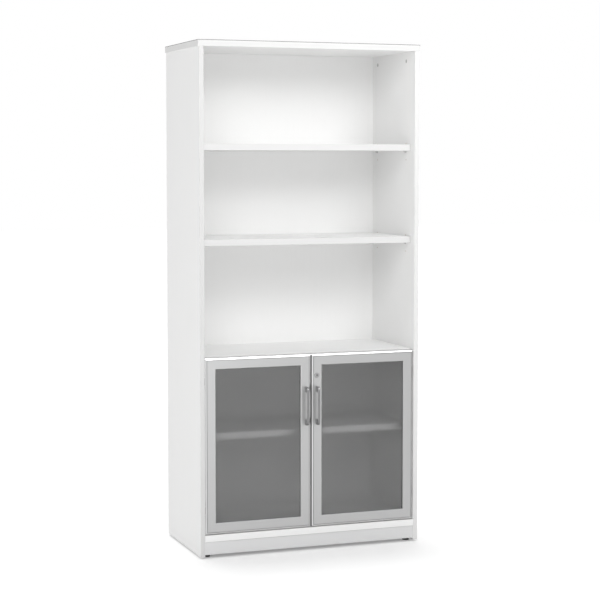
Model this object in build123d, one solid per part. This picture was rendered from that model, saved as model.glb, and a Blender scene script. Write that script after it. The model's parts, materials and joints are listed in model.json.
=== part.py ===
from build123d import *
import os

# A tall white office bookcase: three open bays over a cupboard with two inset glass doors.
# Millimetres. X runs to the right, Y to the back and Z up. The floor is at Z = 0 and the origin
# is the middle of the footprint, with the door handles counted in.

# Carcass
CASE_WIDTH = 900.0  # over the outer faces of the side panels
CASE_DEPTH = 450.0  # front edge to rear edge of the side panels
HEIGHT = 1965.0  # floor to the top face
SIDE_THICKNESS = 18.0
SIDE_FLOOR_GAP = 6.0
TOP_THICKNESS = 25.0
TOP_SIDE_OVERHANG = 4.0
TOP_FRONT_OVERHANG = 2.0
BOTTOM_THICKNESS = 25.0
DECK_THICKNESS = 25.0
DECK_REVEAL = 4.0  # how far the deck stands above the doors
DECK_DOOR_GAP = 4.0  # deck front edge to the back of the doors
EDGE_ROUND = 1.2  # rounding of the banded front edges

# Back panel, held in grooves
BACK_THICKNESS = 8.0
BACK_INSET = 20.0  # rear face of the panel to the rear edge of the case
GROOVE_DEPTH = 8.0
GROOVE_CLEARANCE = 0.2

# Plinth rails
PLINTH_FLOOR_GAP = 13.0
PLINTH_HEIGHT = 50.0
PLINTH_THICKNESS = 18.0
FRONT_PLINTH_RECESS = 4.0
REAR_PLINTH_INSET = 20.0

# Loose shelves and their pins
SHELF_THICKNESS = 25.0
SHELF_SETBACK = 40.0
SHELF_SIDE_CLEARANCE = 1.0
SHELF_BACK_CLEARANCE = 2.0
CUPBOARD_SHELF_THICKNESS = 25.0
CUPBOARD_SHELF_SETBACK = 75.0
CUPBOARD_BAY = 353.0  # bottom panel to the cupboard shelf
LOWER_BAY = 420.0  # deck to the middle shelf
MIDDLE_BAY = 338.0  # middle shelf to the upper shelf
PIN_DIAMETER = 5.0
PIN_HOLE_DEPTH = 11.0
PIN_STEM = 9.5
PIN_PITCH = 32.0
PIN_FRONT_INSET = 85.0  # front row of pins to the case front
PIN_REAR_INSET = 76.0  # rear row of pins to the case rear
PIN_PAD_LENGTH = 11.0
PIN_PAD_WIDTH = 9.0
PIN_PAD_TIP = 2.0
PIN_PAD_ROOT = 7.5
PIN_DROP = 3.8  # pin axis below the shelf

# Cam connectors and dowels
FIT_CLEARANCE = 0.1  # radial room round a fixed fastener
CAM_RADIUS = 7.5
CAM_BACKING = 4.5  # cam body beyond the bolt axis
CAM_DISTANCE = 34.0  # cam centre to the joint
CAM_BORE_RADIUS = 3.6
CAM_CROSS_LENGTH = 9.0
CAM_CROSS_WIDTH = 2.0
CAM_CROSS_DEPTH = 2.5
BOLT_HEAD_RADIUS = 3.2
BOLT_HEAD_HALF = 2.2
BOLT_NECK_RADIUS = 2.0
BOLT_NECK_END = 5.0
BOLT_SHANK_RADIUS = 3.4
BOLT_SHANK_HOLE_RADIUS = 4.0
BOLT_THREAD_RADIUS = 3.0
BOLT_THREAD_LENGTH = 11.0
DOWEL_RADIUS = 4.0
DOWEL_LENGTH = 26.0
DOWEL_CHAMFER = 1.0
DOWEL_OFFSET = 32.0  # dowel beside its cam connector
BLIND_END = 0.4  # spare depth at the bottom of a blind hole

# Doors
DOOR_HEIGHT = 674.0
DOOR_THICKNESS = 20.0
DOOR_RECESS = 3.0  # door face behind the case front
DOOR_SIDE_GAP = 2.0
DOOR_MEETING_GAP = 3.0
DOOR_BOTTOM_GAP = 3.0

# Door frame extrusion
FRAME_FACE = 42.0
FRAME_WALL = 2.0
LIP_WIDTH = 6.0  # bevelled outer lip
LIP_DROP = 4.0
LIP_STEP = 0.6
LINE_WIDTH = 3.0  # shadow groove between the lip and the flat face
LINE_DEPTH = 2.4
INNER_CHAMFER = 1.5
SLOT_DEPTH = 9.0
SLOT_FRONT = 4.0  # glazing slot behind the face of the frame
GLASS_THICKNESS = 4.0
GLASS_BITE = 7.0
GASKET_WALL = 1.5
GASKET_LIP = 1.2
CLEAT_LEG = 45.0
CLEAT_CLEARANCE = 0.2

# Door hinges
HINGE_INSET = 90.0  # hinge centre to the end of the door
HINGE_AXIS_INSET = 9.0  # pin axis to the outer edge of the door
HINGE_AXIS_DEPTH = 8.0  # pin axis to the face of the door
HINGE_PIN_RADIUS = 2.0
HINGE_RUNNING_CLEARANCE = 0.06
HINGE_EYE_RADIUS = 4.0
HINGE_EYE_HEIGHT = 26.0
HINGE_LUG_HEIGHT = 8.0
HINGE_LUG_GAP = 0.4
HINGE_LUG_RADIUS = 4.2
NOTCH_CLEARANCE = 0.5
NOTCH_REACH = 5.5  # notch beyond the pin axis, towards the glass
KNUCKLE_TONGUE = 11.0
NECK_OUTER = 2.2
NECK_INNER = 3.5
CRANK_START = 10.5
CRANK_END = 14.5
HINGE_PLATE_THICKNESS = 4.0
HINGE_PLATE_LENGTH = 40.0
HINGE_PLATE_HEIGHT = 48.0
HINGE_PLATE_CORNER = 4.0
HINGE_SCREW_PITCH = 32.0
HINGE_SCREW_INSET = 42.0  # screw line to the case front
HINGE_SCREW_LENGTH = 16.0

# Screws, each with a pan head
SCREW_RADIUS = 2.0
SCREW_HEAD_RADIUS = 3.6
SCREW_HEAD_HEIGHT = 2.2
SCREW_CROWN_RADIUS = 2.5  # flat on top of the head
SCREW_RIM_HEIGHT = 0.9  # straight edge of the head

# Handles
HANDLE_CENTRES = 128.0
HANDLE_REACH = 28.0  # door face to the front of the bar
HANDLE_WIDTH = 9.0
HANDLE_BAR = 6.5
HANDLE_FOOT = 22.0  # height of each foot
HANDLE_BEND = 14.0
HANDLE_INNER_BEND = 7.0
HANDLE_ROUND = 2.0
HANDLE_DROP = 199.0  # top of the door to the middle of the handle
HANDLE_SCREW_BITE = 10.0

# Cam lock in the right door
LOCK_DROP = 82.0  # top of the door to the lock
LOCK_BEZEL_RADIUS = 10.0
LOCK_BEZEL_HEIGHT = 3.0
LOCK_BEZEL_CHAMFER = 0.9
LOCK_BODY_RADIUS = 8.0
LOCK_BODY_TAIL = 5.0  # body behind the door
LOCK_PLUG_RADIUS = 5.5
LOCK_PLUG_PROUD = 0.6
LOCK_RUNNING_CLEARANCE = 0.06
LOCK_NUT_ACROSS_FLATS = 20.0
LOCK_NUT_THICKNESS = 3.5
KEY_SLOT_HEIGHT = 6.5
KEY_SLOT_WIDTH = 1.6
KEY_SLOT_DEPTH = 8.0
LOCK_CAM_GAP = 0.3
LOCK_CAM_LENGTH = 40.0
LOCK_CAM_WIDTH = 16.0
LOCK_CAM_THICKNESS = 2.0
LOCK_SQUARE = 7.0
LOCK_SCREW_BITE = 8.0

# Sliding bolt inside the left door
BOLT_INSET = 17.0  # rod axis to the meeting edge of the door
BOLT_ROD_RADIUS = 4.0
BOLT_ROD_LENGTH = 52.0
BOLT_REST_GAP = 1.5  # retracted bolt to the deck
BOLT_TRAVEL = 12.0
BOLT_STANDOFF = 13.0  # rod axis behind the door
BOLT_RUNNING_CLEARANCE = 0.08
BOLT_HOLE_ROOM = 0.6
BOLT_KNOB_RADIUS = 3.0
BOLT_KNOB_LENGTH = 9.0
BOLT_KNOB_GAP = 0.3  # knob of the retracted bolt to the guide
GUIDE_HEIGHT = 20.0
GUIDE_DROP = 31.0  # top of the guide below the deck
GUIDE_BOSS_WIDTH = 13.0
GUIDE_BACK = 7.0  # boss beyond the rod axis
GUIDE_FLANGE_WIDTH = 29.0
GUIDE_FLANGE_THICKNESS = 2.0
GUIDE_SCREW_LENGTH = 8.0

# Magnetic catches
CATCH_OFFSET = 78.0  # catch centre to the meeting line
CATCH_WIDTH = 36.0
CATCH_EAR = 10.0
CATCH_EAR_THICKNESS = 2.5
CATCH_HEIGHT = 13.0
CATCH_DEPTH = 14.0
CATCH_GAP = 0.3
CATCH_SCREW_LENGTH = 14.0
STRIKE_WIDTH = 30.0
STRIKE_HEIGHT = 10.0
STRIKE_THICKNESS = 1.5
STRIKE_CORNER = 2.0

# Corner brackets and levelling feet
BRACKET_FLANGE = 46.0
BRACKET_FLANGE_THICKNESS = 6.0
BRACKET_BOSS_RADIUS = 11.0
BRACKET_SCREW_INSET = 9.0  # screw to the end of the flange
BRACKET_SCREW_LENGTH = 18.0
FOOT_AXIS_INSET = 16.0  # foot axis to the side panel and to the plinth
FOOT_PAD_RADIUS = 14.0
FOOT_PAD_HEIGHT = 8.0
FOOT_PAD_TAPER = 2.0
FOOT_PAD_CHAMFER = 1.0
FOOT_HEX_ACROSS_FLATS = 13.0
FOOT_STEM_RADIUS = 4.0
FOOT_STEM_LENGTH = 42.0
FOOT_RUNNING_CLEARANCE = 0.08
FOOT_STOP_GAP = 0.2

# Levels, from the floor up
SIDE_TOP = HEIGHT - TOP_THICKNESS
BOTTOM_UNDER = PLINTH_FLOOR_GAP + PLINTH_HEIGHT
BOTTOM_TOP = BOTTOM_UNDER + BOTTOM_THICKNESS
DOOR_BOTTOM = BOTTOM_TOP + DOOR_BOTTOM_GAP
DOOR_TOP = DOOR_BOTTOM + DOOR_HEIGHT
DECK_TOP = DOOR_TOP + DECK_REVEAL
DECK_UNDER = DECK_TOP - DECK_THICKNESS
MIDDLE_UNDER = DECK_TOP + LOWER_BAY
UPPER_UNDER = MIDDLE_UNDER + SHELF_THICKNESS + MIDDLE_BAY
CUPBOARD_UNDER = BOTTOM_TOP + CUPBOARD_BAY
SHELF_LEVELS = (CUPBOARD_UNDER, MIDDLE_UNDER, UPPER_UNDER)

# Places across and along the case
OUTER_LEFT = -CASE_WIDTH / 2
INNER_LEFT = OUTER_LEFT + SIDE_THICKNESS
HANDLE_PROJECTION = HANDLE_REACH - DOOR_RECESS
CASE_BACK = (CASE_DEPTH + HANDLE_PROJECTION) / 2
CASE_FRONT = CASE_BACK - CASE_DEPTH
BACK_REAR = CASE_BACK - BACK_INSET
BACK_FRONT = BACK_REAR - BACK_THICKNESS
DOOR_FRONT = CASE_FRONT + DOOR_RECESS
DOOR_REAR = DOOR_FRONT + DOOR_THICKNESS
DECK_FRONT = DOOR_REAR + DECK_DOOR_GAP
PIN_ROWS = (CASE_FRONT + PIN_FRONT_INSET, CASE_BACK - PIN_REAR_INSET)
PLINTH_FACE = CASE_FRONT + FRONT_PLINTH_RECESS + PLINTH_THICKNESS
REAR_PLINTH_FACE = CASE_BACK - REAR_PLINTH_INSET - PLINTH_THICKNESS

# Places on the left door
DOOR_OUTER = INNER_LEFT + DOOR_SIDE_GAP
DOOR_INNER = -DOOR_MEETING_GAP / 2
DOOR_WIDTH = DOOR_INNER - DOOR_OUTER
STILE_MIDDLE = DOOR_INNER - FRAME_FACE / 2
SLOT_BACK = SLOT_FRONT + GLASS_THICKNESS + 2 * GASKET_WALL
CHAMBER_BACK = DOOR_THICKNESS - FRAME_WALL
CHAMBER_END = FRAME_FACE - SLOT_DEPTH - FRAME_WALL
CHAMBER_FRONT = LINE_DEPTH + FRAME_WALL
HINGE_X = DOOR_OUTER + HINGE_AXIS_INSET
HINGE_Y = DOOR_FRONT + HINGE_AXIS_DEPTH
HINGE_LEVELS = (DOOR_BOTTOM + HINGE_INSET, DOOR_TOP - HINGE_INSET)
HANDLE_LEVEL = DOOR_TOP - HANDLE_DROP
LOCK_LEVEL = DOOR_TOP - LOCK_DROP
BOLT_X = DOOR_INNER - BOLT_INSET
BOLT_Y = DOOR_REAR + BOLT_STANDOFF

RISING = (Align.CENTER, Align.CENTER, Align.MIN)


def board(x, y, z):
    """Square board between a low and a high value on each axis."""
    low = Vector(x[0], y[0], z[0])
    high = Vector(x[1], y[1], z[1])
    size = high - low
    return Pos(*((low + high) * 0.5)) * Box(size.X, size.Y, size.Z)


def rod(start, direction, length, radius):
    """Cylinder that starts at a point and runs along a direction."""
    return Plane(start, z_dir=direction).location * Cylinder(radius, length, align=RISING)


def turned(outline, start, direction):
    """Solid of revolution from (radius, height) points, set on a point and a direction."""
    half = make_face(Polyline(*outline, close=True))
    return Plane(start, z_dir=direction).location * revolve(Plane.XZ * half, Axis.Z)


def screw(seat, direction, length):
    """Pan-head screw whose head sits on the seat and whose shank runs along the direction."""
    outline = (
        (0, -SCREW_HEAD_HEIGHT),
        (SCREW_CROWN_RADIUS, -SCREW_HEAD_HEIGHT),
        (SCREW_HEAD_RADIUS, -SCREW_RIM_HEIGHT),
        (SCREW_HEAD_RADIUS, 0),
        (SCREW_RADIUS, 0),
        (SCREW_RADIUS, length),
        (0, length),
    )
    return turned(outline, seat, direction)


def screw_hole(seat, direction, length):
    """Room for the shank of such a screw."""
    return rod(seat, direction, length + BLIND_END, SCREW_RADIUS + FIT_CLEARANCE)


def mirrored(solid):
    """The same piece on the other half of the case."""
    return mirror(solid, Plane.YZ)


def both_halves(solids):
    """Pieces of the left half, followed by their mirror images."""
    return list(solids) + [mirrored(s) for s in solids]


def rounded_front(panel, axis):
    """Board with its two front edges along an axis rounded like edge banding."""
    return fillet(panel.edges().filter_by(axis).group_by(Axis.Y)[0], EDGE_ROUND)


# Cam connectors: a plane on the panel that holds the cam, X towards the joint and Z out of its face


def connector_planes(inset_towards_middle):
    """Planes and bolt depths of all connectors, shifted along Y towards the middle of the case."""
    front, rear = PIN_ROWS
    found = []
    for y in (front + inset_towards_middle, rear - inset_towards_middle):
        for side in (-1, 1):
            face = side * -INNER_LEFT
            top_origin = (face, y, SIDE_TOP - CAM_DISTANCE)
            found.append((Plane(top_origin, (0, 0, 1), (-side, 0, 0)), SIDE_THICKNESS / 2))
            for under, thickness in ((DECK_UNDER, DECK_THICKNESS), (BOTTOM_UNDER, BOTTOM_THICKNESS)):
                origin = (face - side * CAM_DISTANCE, y, under)
                found.append((Plane(origin, (side, 0, 0), (0, 0, -1)), thickness / 2))
    return found


def cam(depth):
    """Cam with a bore for the head of the bolt and a cross for the driver."""
    length = depth + CAM_BACKING
    body = rod((0, 0, -length), (0, 0, 1), length, CAM_RADIUS - FIT_CLEARANCE)
    bore_start = -BOLT_HEAD_HALF - (CAM_BORE_RADIUS - BOLT_HEAD_RADIUS)
    bore = rod((bore_start, 0, -depth), (1, 0, 0), CAM_RADIUS * 2, CAM_BORE_RADIUS)
    bar = Pos(0, 0, -CAM_CROSS_DEPTH / 2) * Box(CAM_CROSS_LENGTH, CAM_CROSS_WIDTH, CAM_CROSS_DEPTH)
    return body - bore - bar - Rot(0, 0, 90) * bar


def connector_bolt(depth):
    """Bolt with a head in the cam, a plain shank, and a thread in the other panel."""
    joint = CAM_DISTANCE
    outline = (
        (0, -BOLT_HEAD_HALF),
        (BOLT_HEAD_RADIUS, -BOLT_HEAD_HALF),
        (BOLT_HEAD_RADIUS, BOLT_HEAD_HALF),
        (BOLT_NECK_RADIUS, BOLT_HEAD_HALF),
        (BOLT_NECK_RADIUS, BOLT_NECK_END),
        (BOLT_SHANK_RADIUS, BOLT_NECK_END),
        (BOLT_SHANK_RADIUS, joint),
        (BOLT_THREAD_RADIUS - FIT_CLEARANCE, joint),
        (BOLT_THREAD_RADIUS - FIT_CLEARANCE, joint + BOLT_THREAD_LENGTH),
        (0, joint + BOLT_THREAD_LENGTH),
    )
    return turned(outline, (0, 0, -depth), (1, 0, 0))


def connector_cuts(depth):
    """Holes that one connector needs in both of its panels."""
    cam_depth = depth + CAM_BACKING + BLIND_END
    thread = BOLT_THREAD_LENGTH + BLIND_END
    return [
        rod((0, 0, -cam_depth), (0, 0, 1), cam_depth + BLIND_END, CAM_RADIUS),
        rod((0, 0, -depth), (1, 0, 0), CAM_DISTANCE, BOLT_SHANK_HOLE_RADIUS),
        rod((CAM_DISTANCE, 0, -depth), (1, 0, 0), thread, BOLT_THREAD_RADIUS),
    ]


def dowel(depth):
    """Dowel that lies half in each panel, with chamfered ends."""
    radius = DOWEL_RADIUS - FIT_CLEARANCE
    outline = (
        (0, 0),
        (radius - DOWEL_CHAMFER, 0),
        (radius, DOWEL_CHAMFER),
        (radius, DOWEL_LENGTH - DOWEL_CHAMFER),
        (radius - DOWEL_CHAMFER, DOWEL_LENGTH),
        (0, DOWEL_LENGTH),
    )
    return turned(outline, (CAM_DISTANCE - DOWEL_LENGTH / 2, 0, -depth), (1, 0, 0))


def dowel_cut(depth):
    """Hole for a dowel, with spare depth at both ends."""
    length = DOWEL_LENGTH + 2 * BLIND_END
    return rod((CAM_DISTANCE - length / 2, 0, -depth), (1, 0, 0), length, DOWEL_RADIUS)


CONNECTORS = connector_planes(0)
DOWELS = connector_planes(DOWEL_OFFSET)


def joinery_cuts():
    """All holes for cams, bolts and dowels."""
    cuts = [plane.location * cut for plane, depth in CONNECTORS for cut in connector_cuts(depth)]
    return cuts + [plane.location * dowel_cut(depth) for plane, depth in DOWELS]


JOINERY_CUTS = joinery_cuts()

# Shelf pins


def pin_level(under):
    """Height of the pin axis for a shelf whose underside is given."""
    return under - PIN_DROP


def pin_places():
    """Y and Z of each pin that carries a shelf."""
    return [(y, pin_level(under)) for under in SHELF_LEVELS for y in PIN_ROWS]


def shelf_pin(y, z):
    """Pin with a stem in the left side panel and a flat pad under the shelf."""
    stem = rod((INNER_LEFT - PIN_STEM, y, z), (1, 0, 0), PIN_STEM, PIN_DIAMETER / 2 - FIT_CLEARANCE)
    gusset = make_face(
        Polyline(
            (0, 0),
            (PIN_PAD_LENGTH, 0),
            (PIN_PAD_LENGTH, -PIN_PAD_TIP),
            (0, -PIN_PAD_ROOT),
            close=True,
        )
    )
    seat = Plane((INNER_LEFT, y, z + PIN_DROP), (1, 0, 0), (0, -1, 0)).location
    return stem + seat * extrude(gusset, PIN_PAD_WIDTH / 2, both=True)


def pin_holes():
    """Rows of three holes in the left side panel, the shelf pin in the middle one."""
    steps = (-PIN_PITCH, 0, PIN_PITCH)
    start = INNER_LEFT - PIN_HOLE_DEPTH
    return [
        rod((start, y, z + step), (1, 0, 0), PIN_HOLE_DEPTH, PIN_DIAMETER / 2)
        for y, z in pin_places()
        for step in steps
    ]


# Hinges of the left door


def hinge_seats(level):
    """Screw seats on a hinge plate."""
    x = INNER_LEFT + HINGE_PLATE_THICKNESS
    half = HINGE_SCREW_PITCH / 2
    return [(x, CASE_FRONT + HINGE_SCREW_INSET, level + step) for step in (-half, half)]


def hinge_arm(level):
    """Cranked arm with an eye on the pin and a plate on the side panel."""
    wall = INNER_LEFT - HINGE_X
    neck = make_face(
        Polyline(
            (NECK_INNER, 0),
            (NECK_INNER, CRANK_END),
            (wall, CRANK_END),
            (wall, CRANK_START),
            (-NECK_OUTER, CRANK_START),
            (-NECK_OUTER, 0),
            close=True,
        )
    )
    base = Pos(HINGE_X, HINGE_Y, level - HINGE_EYE_HEIGHT / 2)
    arm = base * extrude(neck + Circle(HINGE_EYE_RADIUS), HINGE_EYE_HEIGHT)
    corner = RectangleRounded(HINGE_PLATE_LENGTH, HINGE_PLATE_HEIGHT, HINGE_PLATE_CORNER)
    middle = HINGE_Y + CRANK_END + HINGE_PLATE_LENGTH / 2
    plate = extrude(Plane((INNER_LEFT, middle, level), (0, 1, 0), (1, 0, 0)) * corner, HINGE_PLATE_THICKNESS)
    eye_radius = HINGE_PIN_RADIUS + HINGE_RUNNING_CLEARANCE
    eye = rod((HINGE_X, HINGE_Y, level - HINGE_EYE_HEIGHT), (0, 0, 1), 2 * HINGE_EYE_HEIGHT, eye_radius)
    shank = HINGE_PLATE_THICKNESS + FIT_CLEARANCE
    holes = [screw_hole(seat, (-1, 0, 0), shank) for seat in hinge_seats(level)]
    return arm + plate - eye - holes


def knuckle_height():
    """Height of a knuckle: the eye between two lugs."""
    return HINGE_EYE_HEIGHT + 2 * (HINGE_LUG_GAP + HINGE_LUG_HEIGHT)


def hinge_knuckle(level):
    """Two lugs on a tongue that sits in the chamber of the hinge stile."""
    height = knuckle_height()
    front = CHAMBER_FRONT + CLEAT_CLEARANCE - HINGE_AXIS_DEPTH
    rear = CHAMBER_BACK - CLEAT_CLEARANCE - HINGE_AXIS_DEPTH
    tongue = Pos(NOTCH_REACH, front) * Rectangle(KNUCKLE_TONGUE, rear - front, align=Align.MIN)
    lug_block = Pos(0, -HINGE_LUG_RADIUS) * Rectangle(NOTCH_REACH, 2 * HINGE_LUG_RADIUS, align=Align.MIN)
    base = Pos(HINGE_X, HINGE_Y, level - height / 2)
    lugs = extrude(Circle(HINGE_LUG_RADIUS) + lug_block, height)
    gap_height = HINGE_EYE_HEIGHT + 2 * HINGE_LUG_GAP
    room = 2 * HINGE_LUG_RADIUS + 2 * NOTCH_REACH
    gap = Pos(NOTCH_REACH - room / 2, 0, height / 2) * Box(room, room, gap_height)
    bore = rod((0, 0, 0), (0, 0, 1), height, HINGE_PIN_RADIUS + HINGE_RUNNING_CLEARANCE)
    return base * (lugs - gap - bore + extrude(tongue, height))


def hinge_pin(level):
    """Plain pin through both lugs and the eye."""
    height = knuckle_height()
    return rod((HINGE_X, HINGE_Y, level - height / 2), (0, 0, 1), height, HINGE_PIN_RADIUS)


def hinge_notch(level):
    """Room in the hinge stile for the arm as the door swings."""
    height = knuckle_height() + 2 * CLEAT_CLEARANCE
    front = HINGE_Y - HINGE_EYE_RADIUS - NOTCH_CLEARANCE
    across = (DOOR_OUTER - DOOR_SIDE_GAP, HINGE_X + NOTCH_REACH)
    return board(across, (front, DOOR_REAR + NOTCH_CLEARANCE), (level - height / 2, level + height / 2))


# Corner brackets and feet: the front left one, the others are its mirror images


def quarters(front_piece):
    """Front left piece, with its images at the other three corners."""
    halfway = Plane((0, (PLINTH_FACE + REAR_PLINTH_FACE) / 2, 0), (1, 0, 0), (0, 1, 0))
    return both_halves([front_piece, mirror(front_piece, halfway)])


def bracket_screws(make):
    """Both screws of the front left bracket, or their holes, by the given maker."""
    level = (PLINTH_FLOOR_GAP + BOTTOM_UNDER) / 2
    far = BRACKET_FLANGE - BRACKET_SCREW_INSET
    to_side = (INNER_LEFT + BRACKET_FLANGE_THICKNESS, PLINTH_FACE + far, level)
    to_plinth = (INNER_LEFT + far, PLINTH_FACE + BRACKET_FLANGE_THICKNESS, level)
    length = BRACKET_SCREW_LENGTH
    return [make(to_side, (-1, 0, 0), length), make(to_plinth, (0, -1, 0), length)]


def corner_bracket():
    """Angle bracket between side and plinth, with a boss for the foot."""
    thick = BRACKET_FLANGE_THICKNESS
    outline = Rectangle(BRACKET_FLANGE, thick, align=Align.MIN)
    outline += Rectangle(thick, BRACKET_FLANGE, align=Align.MIN)
    outline += Rectangle(FOOT_AXIS_INSET, FOOT_AXIS_INSET, align=Align.MIN)
    outline += Pos(FOOT_AXIS_INSET, FOOT_AXIS_INSET) * Circle(BRACKET_BOSS_RADIUS)
    bore = FOOT_STEM_RADIUS + FOOT_RUNNING_CLEARANCE
    outline -= Pos(FOOT_AXIS_INSET, FOOT_AXIS_INSET) * Circle(bore)
    body = Pos(INNER_LEFT, PLINTH_FACE, PLINTH_FLOOR_GAP) * extrude(outline, PLINTH_HEIGHT)
    return body - bracket_screws(screw_hole)


def levelling_foot():
    """Round pad, hexagon for the spanner, and a stem in the bracket."""
    hexagon_top = PLINTH_FLOOR_GAP - FOOT_STOP_GAP
    outline = (
        (0, 0),
        (FOOT_PAD_RADIUS - FOOT_PAD_CHAMFER, 0),
        (FOOT_PAD_RADIUS, FOOT_PAD_CHAMFER),
        (FOOT_PAD_RADIUS - FOOT_PAD_TAPER, FOOT_PAD_HEIGHT),
        (FOOT_STEM_RADIUS, FOOT_PAD_HEIGHT),
        (FOOT_STEM_RADIUS, hexagon_top + FOOT_STEM_LENGTH),
        (0, hexagon_top + FOOT_STEM_LENGTH),
    )
    place = (INNER_LEFT + FOOT_AXIS_INSET, PLINTH_FACE + FOOT_AXIS_INSET, 0)
    nut = RegularPolygon(FOOT_HEX_ACROSS_FLATS / 2, 6, major_radius=False)
    hexagon = Pos(place[0], place[1], FOOT_PAD_HEIGHT) * extrude(nut, hexagon_top - FOOT_PAD_HEIGHT)
    return turned(outline, place, (0, 0, 1)) + hexagon


# Magnetic catches


def catch_seats():
    """Screw seats under the ears of the left catch."""
    reach = (CATCH_WIDTH + CATCH_EAR) / 2
    y = DOOR_REAR + STRIKE_THICKNESS + CATCH_GAP + CATCH_DEPTH / 2
    z = DECK_UNDER - CATCH_EAR_THICKNESS
    return [(-CATCH_OFFSET + step, y, z) for step in (-reach, reach)]


def magnetic_catch():
    """Catch body with two ears under the deck."""
    half = CATCH_WIDTH / 2
    ear = half + CATCH_EAR
    outline = Polyline(
        (-ear, 0),
        (ear, 0),
        (ear, -CATCH_EAR_THICKNESS),
        (half, -CATCH_EAR_THICKNESS),
        (half, -CATCH_HEIGHT),
        (-half, -CATCH_HEIGHT),
        (-half, -CATCH_EAR_THICKNESS),
        (-ear, -CATCH_EAR_THICKNESS),
        close=True,
    )
    front = DOOR_REAR + STRIKE_THICKNESS + CATCH_GAP
    face = Plane((-CATCH_OFFSET, front + CATCH_DEPTH, DECK_UNDER), (1, 0, 0), (0, -1, 0))
    body = face.location * extrude(make_face(outline), CATCH_DEPTH)
    shank = CATCH_EAR_THICKNESS + FIT_CLEARANCE
    return body - [screw_hole(seat, (0, 0, 1), shank) for seat in catch_seats()]


def strike_plate():
    """Steel plate on the back of the left door, opposite the catch."""
    level = DECK_UNDER - CATCH_HEIGHT / 2
    face = Plane((-CATCH_OFFSET, DOOR_REAR, level), (1, 0, 0), (0, -1, 0))
    outline = RectangleRounded(STRIKE_WIDTH, STRIKE_HEIGHT, STRIKE_CORNER)
    return extrude(face * outline, -STRIKE_THICKNESS)


# Sliding bolt on the back of the left meeting stile


def guide_top():
    """Height of the top of the bolt guide."""
    return DECK_UNDER - GUIDE_DROP


def guide_seats():
    """Screw seats on the flanges of the bolt guide."""
    reach = (GUIDE_FLANGE_WIDTH + GUIDE_BOSS_WIDTH) / 4
    y = DOOR_REAR + GUIDE_FLANGE_THICKNESS
    z = guide_top() - GUIDE_HEIGHT / 2
    return [(BOLT_X + step, y, z) for step in (-reach, reach)]


def bolt_guide():
    """Hat-shaped guide with a bore for the rod."""
    flange = Rectangle(GUIDE_FLANGE_WIDTH, GUIDE_FLANGE_THICKNESS, align=(Align.CENTER, Align.MIN))
    boss_depth = BOLT_STANDOFF + GUIDE_BACK
    boss = Rectangle(GUIDE_BOSS_WIDTH, boss_depth, align=(Align.CENTER, Align.MIN))
    bore = Pos(0, BOLT_STANDOFF) * Circle(BOLT_ROD_RADIUS + BOLT_RUNNING_CLEARANCE)
    place = Pos(BOLT_X, DOOR_REAR, guide_top() - GUIDE_HEIGHT)
    body = place * extrude(flange + boss - bore, GUIDE_HEIGHT)
    shank = GUIDE_FLANGE_THICKNESS + FIT_CLEARANCE
    return body - [screw_hole(seat, (0, -1, 0), shank) for seat in guide_seats()]


def door_bolt():
    """Retracted rod whose small knob rests on the guide."""
    foot = DECK_UNDER - BOLT_REST_GAP - BOLT_ROD_LENGTH
    shaft = rod((BOLT_X, BOLT_Y, foot), (0, 0, 1), BOLT_ROD_LENGTH, BOLT_ROD_RADIUS)
    knob_start = (BOLT_X, BOLT_Y, guide_top() + BOLT_KNOB_GAP + BOLT_KNOB_RADIUS)
    return shaft + rod(knob_start, (0, 1, 0), BOLT_ROD_RADIUS + BOLT_KNOB_LENGTH, BOLT_KNOB_RADIUS)


def bolt_strike_hole():
    """Hole in the deck for the shot bolt."""
    start = (BOLT_X, BOLT_Y, DECK_UNDER)
    return rod(start, (0, 0, 1), BOLT_TRAVEL + BOLT_HOLE_ROOM, BOLT_ROD_RADIUS + BOLT_HOLE_ROOM)


# Carcass panels


def back_groove():
    """Space of the back panel, with the clearance of its grooves."""
    return board(
        (INNER_LEFT - GROOVE_DEPTH, -INNER_LEFT + GROOVE_DEPTH),
        (BACK_FRONT - GROOVE_CLEARANCE, BACK_REAR + GROOVE_CLEARANCE),
        (BOTTOM_TOP - GROOVE_DEPTH, SIDE_TOP + GROOVE_DEPTH),
    )


def side_panel():
    """Left side panel with its groove and every hole drilled in it."""
    panel = board((OUTER_LEFT, INNER_LEFT), (CASE_FRONT, CASE_BACK), (SIDE_FLOOR_GAP, SIDE_TOP))
    panel = rounded_front(panel, Axis.Z)
    groove = (BACK_FRONT - GROOVE_CLEARANCE, BACK_REAR + GROOVE_CLEARANCE)
    cuts = [board((INNER_LEFT - GROOVE_DEPTH, INNER_LEFT), groove, (SIDE_FLOOR_GAP, SIDE_TOP))]
    cuts += pin_holes() + JOINERY_CUTS
    for level in HINGE_LEVELS:
        cuts += [screw_hole(seat, (-1, 0, 0), HINGE_SCREW_LENGTH) for seat in hinge_seats(level)]
    cuts += quarters(bracket_screws(screw_hole)[0])
    return panel - cuts


def top_panel():
    """Top panel, a little proud of the sides and the front."""
    half = CASE_WIDTH / 2 + TOP_SIDE_OVERHANG
    panel = board((-half, half), (CASE_FRONT - TOP_FRONT_OVERHANG, CASE_BACK), (SIDE_TOP, HEIGHT))
    return rounded_front(panel, Axis.X) - ([back_groove()] + JOINERY_CUTS)


def bottom_panel():
    """Bottom panel, flush with the case at the front and at the rear."""
    panel = board((INNER_LEFT, -INNER_LEFT), (CASE_FRONT, CASE_BACK), (BOTTOM_UNDER, BOTTOM_TOP))
    return rounded_front(panel, Axis.X) - ([back_groove()] + JOINERY_CUTS)


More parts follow.
